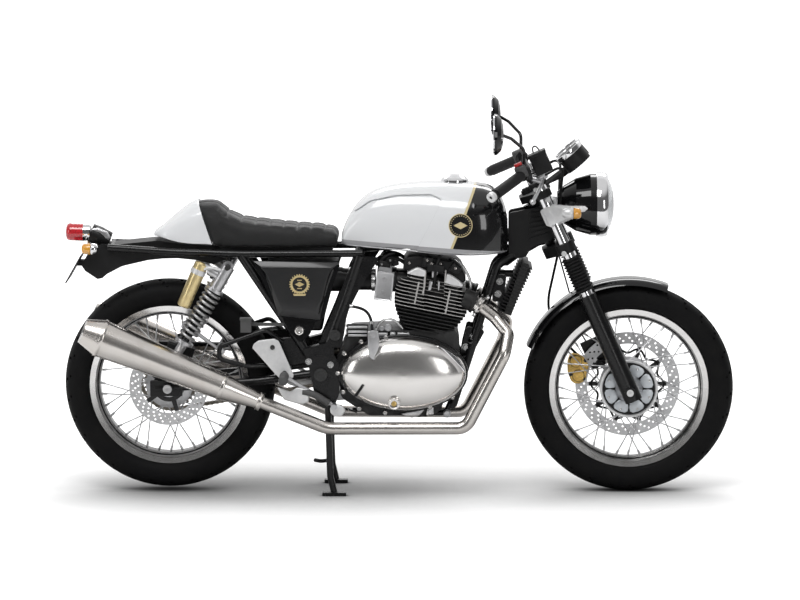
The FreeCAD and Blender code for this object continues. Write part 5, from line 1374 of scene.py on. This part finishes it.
buildFrameTrim()
print("side panels and frame trim built")


tankTrim = {"radius": 0.0022, "stations": [
    (-0.174, 0.7635, 0.0635), (-0.13, 0.7585, 0.079), (-0.04, 0.7535, 0.0975), (0.04, 0.7485, 0.111),
    (0.12, 0.7405, 0.1215), (0.2, 0.7375, 0.1275), (0.25, 0.7385, 0.1235), (0.288, 0.7405, 0.112),
    (0.312, 0.7425, 0.095), (0.328, 0.7445, 0.072)]}


def buildTankTrim():
    points = [(x, -across - 0.0005, height) for x, height, across in tankTrim["stations"]]
    around = points + [(x, -y, z) for x, y, z in points[::-1]]
    seam = tubeAlong(around, tankTrim["radius"], closed=True)
    fitted(facesOutwards(seam), "tankSeam", "chassis", "brushedSeam", 50)


buildTankTrim()
print("tank trim built")


wheelDetail = {"hubFace": -0.041, "petals": 8, "petalInner": 0.03, "petalOuter": 0.0755, "petalSpan": 42,
               "ring": (0.0815, 0.0885), "carrier": (0.096, 0.112)}


def buildFrontHub():
    x, z = 0.699, 0.3186
    face = wheelDetail["hubFace"]
    back = spunPiece([(0.02, 0.0), (0.02, 0.0022), (0.079, 0.0022), (0.0795, 0.0)], (x, face, z), (0, -1, 0),
                     96)
    fitted(facesOutwards(back), "hubShade", "front_wheel", "satinBlack", 40)
    petals = []
    span = math.radians(wheelDetail["petalSpan"])
    for k in range(wheelDetail["petals"]):
        middle = 2 * math.pi * (k + 0.5) / wheelDetail["petals"]
        outline = []
        for share, reach in ((-0.42, 0.3), (-0.5, 0.62), (-0.46, 0.88), (-0.3, 0.985), (0.0, 1.0), (0.3, 0.985),
                             (0.46, 0.88), (0.5, 0.62), (0.42, 0.3), (0.0, 0.22)):
            radius = wheelDetail["petalInner"] + (wheelDetail["petalOuter"] - wheelDetail["petalInner"]) * reach
            angle = middle + span * share
            outline.append((x + radius * math.cos(angle), z + radius * math.sin(angle)))
        petals.append(platePiece(outline, face - 0.0052, face - 0.001, 0.0014))
    fitted(joinPieces(petals), "hubPetals", "front_wheel", "blueAlloy", 40)
    low, high = wheelDetail["ring"]
    ring = spunPiece([(low, 0.0), (low, 0.0022), (low + 0.0015, 0.0032), (high - 0.0015, 0.0032),
                      (high, 0.0022),
                      (high, 0.0)], (x, face - 0.0032, z), (0, -1, 0), 120)
    fitted(facesOutwards(ring), "hubRing", "front_wheel", "brightAlloy", 40)
    places = ovalPoints((x, z), 0.0665, 0.0665, 22.5, 382.5, 8)
    studs = copiesJoined(screwHead(0.004, 0.0025), [facing((across, face - 0.005, up), (0, -1, 0))
                                                    for across, up in places])
    fitted(studs, "hubStuds", "front_wheel", "spokeSteel")
    core = spunPiece([(0.0001, 0.0), (0.03, 0.0), (0.03, 0.006), (0.027, 0.009), (0.022, 0.0095), (0.021, 0.02),
                      (0.0001, 0.02)], (x, face, z), (0, -1, 0), 64)
    fitted(facesOutwards(core), "hubCore", "front_wheel", "satinBlack", 40)
    # the scalloped black carrier that the front disc is riveted to
    low, high = wheelDetail["carrier"]
    scallops = []
    for k in range(200):
        angle = 2 * math.pi * k / 200
        reach = (low + high) / 2 + (high - low) / 2 * math.cos(10 * angle)
        scallops.append((x + reach * math.cos(angle), 0.055, z + reach * math.sin(angle)))
    fitted(facesOutwards(tubeAlong(scallops, 0.0034, closed=True)), "discCarrier", "front_wheel", "satinBlack",
           45)


def boltFace(radius):
    return [(0.0001, 0.0), (radius * 0.38, 0.0), (radius * 0.42, 0.0035), (radius * 0.62, 0.0035),
            (radius * 0.66, 0.0055), (radius * 0.95, 0.0055), (radius, 0.004), (radius, -0.012),
            (0.0001, -0.012)]


def buildAxleEnds():
    front = onBothSides(spunPiece(boltFace(0.0105), (0.699, -0.1325, 0.3186), (0, -1, 0), 40))
    fitted(front, "frontAxleBolts", "steering", "brightAlloy", 35)
    rear = onBothSides(spunPiece(boltFace(0.0135), (-0.699, -0.1385, 0.3296), (0, -1, 0), 40))
    fitted(rear, "rearAxleNuts", "chassis", "brightAlloy", 35)


caliperDetail = {
    "outline": [(0.515, 0.39), (0.52, 0.406), (0.533, 0.414), (0.547, 0.412), (0.555, 0.406),
                (0.569, 0.401), (0.578, 0.39), (0.58, 0.375), (0.5765, 0.36), (0.573, 0.35),
                (0.572, 0.34), (0.564, 0.327), (0.55, 0.3205), (0.536, 0.3215), (0.525, 0.33),
                (0.52, 0.343), (0.515, 0.356), (0.5165, 0.368), (0.514, 0.378)],
    "pots": [(0.54, 0.3905, 0.0175), (0.548, 0.346, 0.0175)],
}


def buildCaliper():
    outline = caliperDetail["outline"]
    bridge = [(x, z) for x, z in outline if x < 0.5345]
    bridge += [(0.53, 0.366)]
    parts = [platePiece(outline, 0.038, 0.0535, 0.004, 3), platePiece(outline, 0.0625, 0.074, 0.004, 3),
             platePiece([(0.514, 0.378), (0.515, 0.39), (0.52, 0.406), (0.53, 0.41), (0.5345, 0.395),
                         (0.5305, 0.37), (0.534, 0.345), (0.538, 0.325), (0.525, 0.33), (0.52, 0.343),
                         (0.515, 0.356)], 0.05, 0.066, 0.0015)]
    for x, z, radius in caliperDetail["pots"]:
        parts.append(capPiece((x, 0.0385, z), (0, -1, 0), radius, 0.0065, 0.25))
        parts.append(capPiece((x, 0.0735, z), (0, 1, 0), radius, 0.0045, 0.25))
    parts.append(platePiece([(0.548, 0.378), (0.562, 0.384), (0.568, 0.37), (0.556, 0.362)], 0.0335, 0.04,
                            0.002))
    caliper = facesOutwards(joinPieces(parts))
    fitted(caliper, "frontCaliperBody", "steering", "caliperGold", 40)
    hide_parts("front_caliper")
    heads = copiesJoined(hexHead(0.0045, 0.005), [facing(place, (0, -1, 0)) for place in (
        (0.5245, 0.0385, 0.4), (0.569, 0.0385, 0.393), (0.564, 0.0385, 0.337), (0.5235, 0.0385, 0.35))])
    fitted(heads, "caliperBolts", "steering", "castDark")
    # painted shade: dark rings round the piston pots stand for the shade in the gap round each pot
    gapShades = [spunPiece([(radius, 0.0), (radius, 0.0012), (radius + 0.0016, 0.0012), (radius + 0.0016, 0.0)],
                       (x, 0.0385, z), (0, -1, 0), 48) for x, z, radius in caliperDetail["pots"]]
    fitted(facesOutwards(joinPieces(gapShades)), "caliperGapShade", "steering", "castDark", 40)


buildFrontHub()
buildAxleEnds()
buildCaliper()
print("wheel and brake details built")


lampDetailRear = {"centre": (-0.938, 0, 0.7905), "stalk": 0.1}


def buildRearLamps():
    lens = spunPiece([(0.0001, 0.0745), (0.015, 0.0742), (0.022, 0.072), (0.0258, 0.067), (0.0268, 0.06),
                      (0.0272, 0.02), (0.0001, 0.02)], lampDetailRear["centre"], (-1, 0, 0.02), 64)
    fitted(facesOutwards(lens), "tailLens", "chassis", "redLens", 40)
    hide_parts("tail_lamp_lens")
    collar = spunPiece([(0.0001, 0.000), (0.0255, 0.000), (0.0272, 0.002), (0.0272, 0.016), (0.0268, 0.019),
                        (0.0275, 0.0205), (0.0275, 0.0225), (0.0001, 0.0225)], lampDetailRear["centre"],
                       (-1, 0, 0.02), 64)
    fitted(facesOutwards(collar), "tailCollar", "chassis", "chrome", 40)
    hood = platePiece([(-0.9356, 0.8051), (-0.9142, 0.8063), (-0.8867, 0.7941), (-0.8745, 0.7776),
                       (-0.8806, 0.7654),
                       (-0.8989, 0.7761), (-0.9173, 0.7853), (-0.9356, 0.7868)], -0.026, 0.026, 0.005, 4)
    fitted(hood, "lampHood", "chassis", "hubAlloy", 50)
    lenses, bodies, stems = [], [], []
    for side in (-1, 1):
        place = (-0.93, side * lampDetailRear["stalk"], 0.751)
        lenses.append(spunPiece([(0.0001, 0.0275), (0.008, 0.027), (0.0135, 0.024), (0.0158, 0.019),
                                 (0.0165, 0.001),
                                 (0.0001, 0.001)], place, (-1, 0, 0), 40))
        bodies.append(spunPiece([(0.0001, 0.0), (0.0155, 0.0), (0.0175, -0.002), (0.0175, -0.009),
                                 (0.015, -0.017),
                                 (0.01, -0.022), (0.0001, -0.0225)], place, (-1, 0, 0), 40))
        stems.append(tubeAlong([(-0.917, side * 0.087, 0.751), (-0.917, side * 0.06, 0.752),
                                (-0.917, side * 0.024, 0.755)], 0.0065))
    lensPiece = facesOutwards(joinPieces(lenses))
    fitted(lensPiece, "rearFlasherLenses", "chassis", "amberLens", 45)
    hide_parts("rear_indicators")
    fitted(facesOutwards(joinPieces(bodies)), "rearFlasherBodies", "chassis", "chrome", 45)
    fitted(facesOutwards(joinPieces(stems)), "rearFlasherStems", "chassis", "satinBlack", 45)


def buildFrontFlashers():
    lenses, bodies = [], []
    for side in (-1, 1):
        place = (0.523, side * 0.166, 0.8685)
        lenses.append(spunPiece([(0.0001, 0.0245), (0.008, 0.024), (0.0135, 0.021), (0.0158, 0.016),
                                 (0.0165, 0.001),
                                 (0.0001, 0.001)], place, (1, 0, 0), 40))
        bodies.append(spunPiece([(0.0001, 0.0), (0.0155, 0.0), (0.0175, -0.002), (0.0175, -0.014),
                                 (0.015, -0.026),
                                 (0.01, -0.033), (0.0001, -0.034)], place, (1, 0, 0), 40))
        bodies.append(tubeAlong([(0.506, side * 0.155, 0.8685), (0.5, side * 0.135, 0.87),
                                 (0.492, side * 0.11, 0.874)], 0.0065))
    lensPiece = facesOutwards(joinPieces(lenses))
    fitted(lensPiece, "frontFlasherLenses", "steering", "amberLens", 45)
    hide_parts("front_indicators")
    fitted(facesOutwards(joinPieces(bodies)), "frontFlasherBodies", "steering", "brightAlloy", 45)


shockDetail = {"top": (-0.592, -0.13, 0.714), "foot": (-0.65, -0.13, 0.58), "radius": 0.0208}


def buildShockTrim():
    top, foot = Vector(shockDetail["top"]), Vector(shockDetail["foot"])
    along, radius = (foot - top).normalized(), shockDetail["radius"]
    length = (foot - top).length
    can = spunPiece([(0.0001, 0.0), (radius * 0.55, 0.0), (radius * 0.62, 0.002), (radius - 0.003, 0.002),
                     (radius, 0.005), (radius, length - 0.007), (radius - 0.001, length - 0.003),
                     (radius - 0.005, length), (0.0001, length)], top, along, 64)
    cans = onBothSides(can)
    fitted(cans, "shockCanisters", "chassis", "brassTrim", 40)
    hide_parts("shock_reservoirs")
    strap = spunPiece([(radius, 0.022), (radius + 0.0025, 0.0225), (radius + 0.0025, 0.0375), (radius, 0.038)],
                      top,
                      along, 64)
    arm = tubeAlong([tuple(top + along * 0.03 + Vector((0.017, -0.01, 0.008))),
                     (-0.575, -0.146, 0.7), (-0.553, -0.146, 0.7), (-0.533, -0.138, 0.69)], 0.0052)
    fitted(onBothSides(joinPieces([strap, arm])), "shockStraps", "chassis", "brightAlloy", 45)
    cap = capPiece((-0.514, -0.1575, 0.7015), (0, -1, 0), 0.0085, 0.005)
    fitted(onBothSides(cap), "shockEyes", "chassis", "castDark", 40)


def buildFootControls():
    plate = platePiece([(-0.4415, 0.457), (-0.437, 0.469), (-0.424, 0.4785), (-0.375, 0.485), (-0.362, 0.479),
                        (-0.356, 0.4665), (-0.317, 0.3755), (-0.318, 0.366), (-0.327, 0.362),
                        (-0.357, 0.362), (-0.373, 0.3775)], -0.1475, -0.1425, 0.0035, 4)
    fitted(onBothSides(plate), "heelPlates", "chassis", "brightAlloy", 45)
    heads = copiesJoined(screwHead(0.0072, 0.004), [facing((x, side * 0.147, z), (0, side, 0)) for side in (-1,
                                                                                                            1)
                                                    for x, z in ((-0.3804, 0.4591), (-0.3443, 0.381))])
    fitted(heads, "heelPlateScrews", "chassis", "castDark")
    ribs = [(0.0001, 0.0), (0.012, 0.0), (0.0142, 0.002)]
    for k in range(9):
        ribs += [(0.0142, 0.004 + 0.0105 * k), (0.0127, 0.0055 + 0.0105 * k), (0.0127, 0.0085 + 0.0105 * k),
                 (0.0142, 0.01 + 0.0105 * k)]
    ribs += [(0.0142, 0.0985), (0.012, 0.1), (0.0001, 0.1)]
    peg = spunPiece(ribs, (-0.345, -0.1515, 0.372), (0, -1, 0), 32)
    fitted(onBothSides(peg), "pegRubbers", "chassis", "greyRubber", 40)
    casting = platePiece([(-0.3665, 0.3381), (-0.3454, 0.3321), (-0.3274, 0.3246), (-0.3063, 0.3381),
                          (-0.2731, 0.3321), (-0.2701, 0.2959), (-0.2882, 0.2869), (-0.3093, 0.2899),
                          (-0.3454, 0.3005)], -0.16, -0.146, 0.004, 3)
    fitted(onBothSides(casting), "pedalCastings", "chassis", "brightAlloy", 45)
    arm = tubeAlong([(-0.29, -0.153, 0.324), (-0.265, -0.155, 0.322), (-0.235, -0.156, 0.306),
                     (-0.21, -0.156, 0.288)], 0.0105)
    fitted(onBothSides(facesOutwards(arm)), "pedalArms", "chassis", "greyRubber", 45)
    lug = platePiece([(-0.2068, 0.2778), (-0.1887, 0.2869), (-0.1706, 0.2839), (-0.1601, 0.2688),
                      (-0.1706, 0.2522),
                      (-0.1947, 0.2507), (-0.2068, 0.2628)], -0.166, -0.146, 0.004, 3)
    fitted(onBothSides(lug), "pedalLugs", "chassis", "brightAlloy", 45)


buildRearLamps()
buildFrontFlashers()
buildShockTrim()
buildFootControls()
print("lamps, shocks and foot controls built")


barDetail = {"gaugeFaces": [(0.5097, -0.048, 1.0447), (0.5097, 0.048, 1.0447)],
             "gaugeNormal": (-0.654, 0, 0.756),
             "lean": -24.0}


def buildFrontEnd():
    bracket = platePiece([(0.4298, 0.8745), (0.4449, 0.882), (0.463, 0.8865), (0.5582, 0.8865), (0.5688, 0.879),
                          (0.5582, 0.8684), (0.5114, 0.8654), (0.5114, 0.8503), (0.454, 0.8231),
                          (0.4479, 0.8382)],
                         -0.1268, -0.1232, 0.0012, 2)
    fitted(onBothSides(bracket), "lampArms", "steering", "brightAlloy", 40)
    lean = math.radians(barDetail["lean"])
    pot = boxPiece((0.4245, -0.189, 1.0215), (0.054, 0.054, 0.062), 0.005, 4, lean)
    lid = boxPiece((0.4115, -0.189, 1.05), (0.058, 0.058, 0.01), 0.003, 3, lean)
    fitted(joinPieces([pot, lid]), "reservoirCover", "steering", "satinBlack", 40)
    hook = tubeAlong([(0.402, -0.189, 1.052), (0.398, -0.189, 1.066), (0.404, -0.189, 1.073),
                      (0.412, -0.189, 1.071),
                      (0.42, -0.189, 1.06)], 0.0022)
    fitted(facesOutwards(hook), "reservoirHook", "steering", "satinBlack", 45)
    ends = [spunPiece([(0.005, 0.0), (0.005, 0.0025), (0.0065, 0.004), (0.013, 0.004), (0.015, 0.002),
                       (0.015, -0.01), (0.005, -0.01)], (0.2748, side * 0.3774, 0.938),
                      (-0.54, side * 0.77, -0.31), 48) for side in (-1, 1)]
    fitted(facesOutwards(joinPieces(ends)), "barEnds", "steering", "brightAlloy", 40)
    housings = [boxPiece((0.366, side * 0.243, 1.001), (0.034, 0.034, 0.038), 0.006, 4, lean) for side in (-1,
                                                                                                           1)]
    fitted(joinPieces(housings), "switchHousings", "steering", "greyRubber", 45)
    rocker = boxPiece((0.3555, -0.244, 1.0225), (0.024, 0.02, 0.01), 0.003, 3, lean)
    fitted(rocker, "stopSwitch", "steering", "redSwitch", 40)
    rings, dials, marks = [], [], []
    normal = Vector(barDetail["gaugeNormal"]).normalized()
    for place in barDetail["gaugeFaces"]:
        rings.append(spunPiece([(0.0385, 0.001), (0.0395, 0.0035), (0.043, 0.004), (0.0448, 0.0025),
                                (0.045, -0.01), (0.044, -0.0115), (0.0385, -0.004)], place, normal, 72))
        dials.append(spunPiece([(0.0001, 0.0005), (0.0388, 0.0005), (0.0388, -0.002), (0.0001, -0.002)], place,
                               normal, 64))
        for k in range(25):
            turn = math.radians(-130 + 260 * k / 24)
            size = (0.0012, 0.006 if k % 4 == 0 else 0.0035, 0.0006)
            mark = boxPiece((0, 0, 0), size, 0.0001, 1)
            mark.data.transform(facing(Vector(place) + normal * 0.0007, normal) @ Matrix.Rotation(turn, 4, "Z")
                                @ Matrix.Translation((0, 0.033, 0)))
            marks.append(mark)
        needle = boxPiece((0, 0, 0), (0.0016, 0.03, 0.0008), 0.0002, 1)
        needle.data.transform(facing(Vector(place) + normal * 0.0012, normal) @ Matrix.Rotation(2.1, 4, "Z")
                              @ Matrix.Translation((0, 0.01, 0)))
        marks.append(needle)
    fitted(facesOutwards(joinPieces(rings)), "gaugeBezels", "steering", "chrome", 40)
    fitted(facesOutwards(joinPieces(dials)), "gaugeDials", "steering", "satinBlack", 40)
    fitted(joinPieces(marks), "gaugeMarks", "steering", "brightAlloy", 40)
    # bright bolts on the yokes
    fittings = [capPiece((x, side * y, z), (0, side, 0), radius, 0.006) for side in (-1, 1)
                for x, y, z, radius in ((0.448, 0.13, 0.905, 0.008), (0.497, 0.126, 0.742, 0.008),
                                        (0.411, 0.128, 0.935, 0.007))]
    fitted(joinPieces(fittings), "yokeBolts", "steering", "brightAlloy", 40)
    ribs = []
    for k in range(16):
        share = k / 15
        rib = boxPiece((0.3835 - 0.064 * share, 0, 0.6975 - 0.139 * share), (0.043, 0.187, 0.0032), 0.0008, 2,
                       math.radians(24.5))
        ribs.append(rib)
    fitted(joinPieces(ribs), "coolerFins", "chassis", "satinBlack", 35)
    bolts = [capPiece((x, side * 0.033, z), (0, side, 0), 0.0095, 0.006) for side in (-1, 1)
             for x, z in ((0.304, 0.632), (0.2965, 0.608))]
    fitted(joinPieces(bolts), "downtubeBolts", "chassis", "brightAlloy", 40)
    clutter = [tubeAlong([(-0.07, -0.06, 0.7), (-0.048, -0.066, 0.716), (-0.028, -0.066, 0.724),
                          (0.006, -0.06, 0.716), (0.022, -0.056, 0.7)], 0.006),
               tubeAlong([(-0.06, -0.07, 0.69), (-0.058, -0.074, 0.712), (-0.04, -0.074, 0.73),
                          (-0.012, -0.07, 0.738)], 0.0045),
               boxPiece((-0.044, -0.066, 0.7), (0.036, 0.03, 0.026), 0.004, 3, 0.12),
               boxPiece((-0.012, -0.062, 0.707), (0.022, 0.024, 0.02), 0.004, 3, -0.2),
               capPiece((-0.026, -0.076, 0.716), (0, -1, 0), 0.011, 0.008)]
    fitted(onBothSides(joinPieces(clutter)), "throttleLinks", "chassis", "satinBlack", 45)
    studs = copiesJoined(screwHead(0.0038, 0.003), [facing((x, side * y, z), (0, side, 0)) for side in (-1, 1)
                                                    for x, y, z in ((-0.026, 0.084, 0.716),
                                                                    (-0.052, 0.081, 0.704))])
    fitted(studs, "throttleScrews", "chassis", "spokeSteel")


buildFrontEnd()
print("front end details built")


airboxDetail = {"outline": [(-0.402, 0.716), (-0.18, 0.714), (-0.196, 0.69), (-0.214, 0.62), (-0.232, 0.5),
                            (-0.33, 0.5), (-0.352, 0.56), (-0.376, 0.64)], "half": 0.086}


def buildAirbox():
    box = platePiece(airboxDetail["outline"], -airboxDetail["half"], airboxDetail["half"], 0.01, 4)
    parts = [box]
    for side in (-1, 1):
        parts.append(spunPiece([(0.0001, 0.0), (0.03, 0.0), (0.03, 0.03), (0.027, 0.036), (0.026, 0.052),
                                (0.0275, 0.058), (0.026, 0.064), (0.0275, 0.07), (0.026, 0.076), (0.026, 0.134),
                                (0.0001, 0.134)], (-0.206, side * 0.056, 0.648), (1, 0, 0), 40))
    piece = facesOutwards(joinPieces(parts))
    fitted(piece, "airboxShell", "chassis", "satinBlack", 35)
    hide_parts("airbox")


buildAirbox()
print("airbox built")
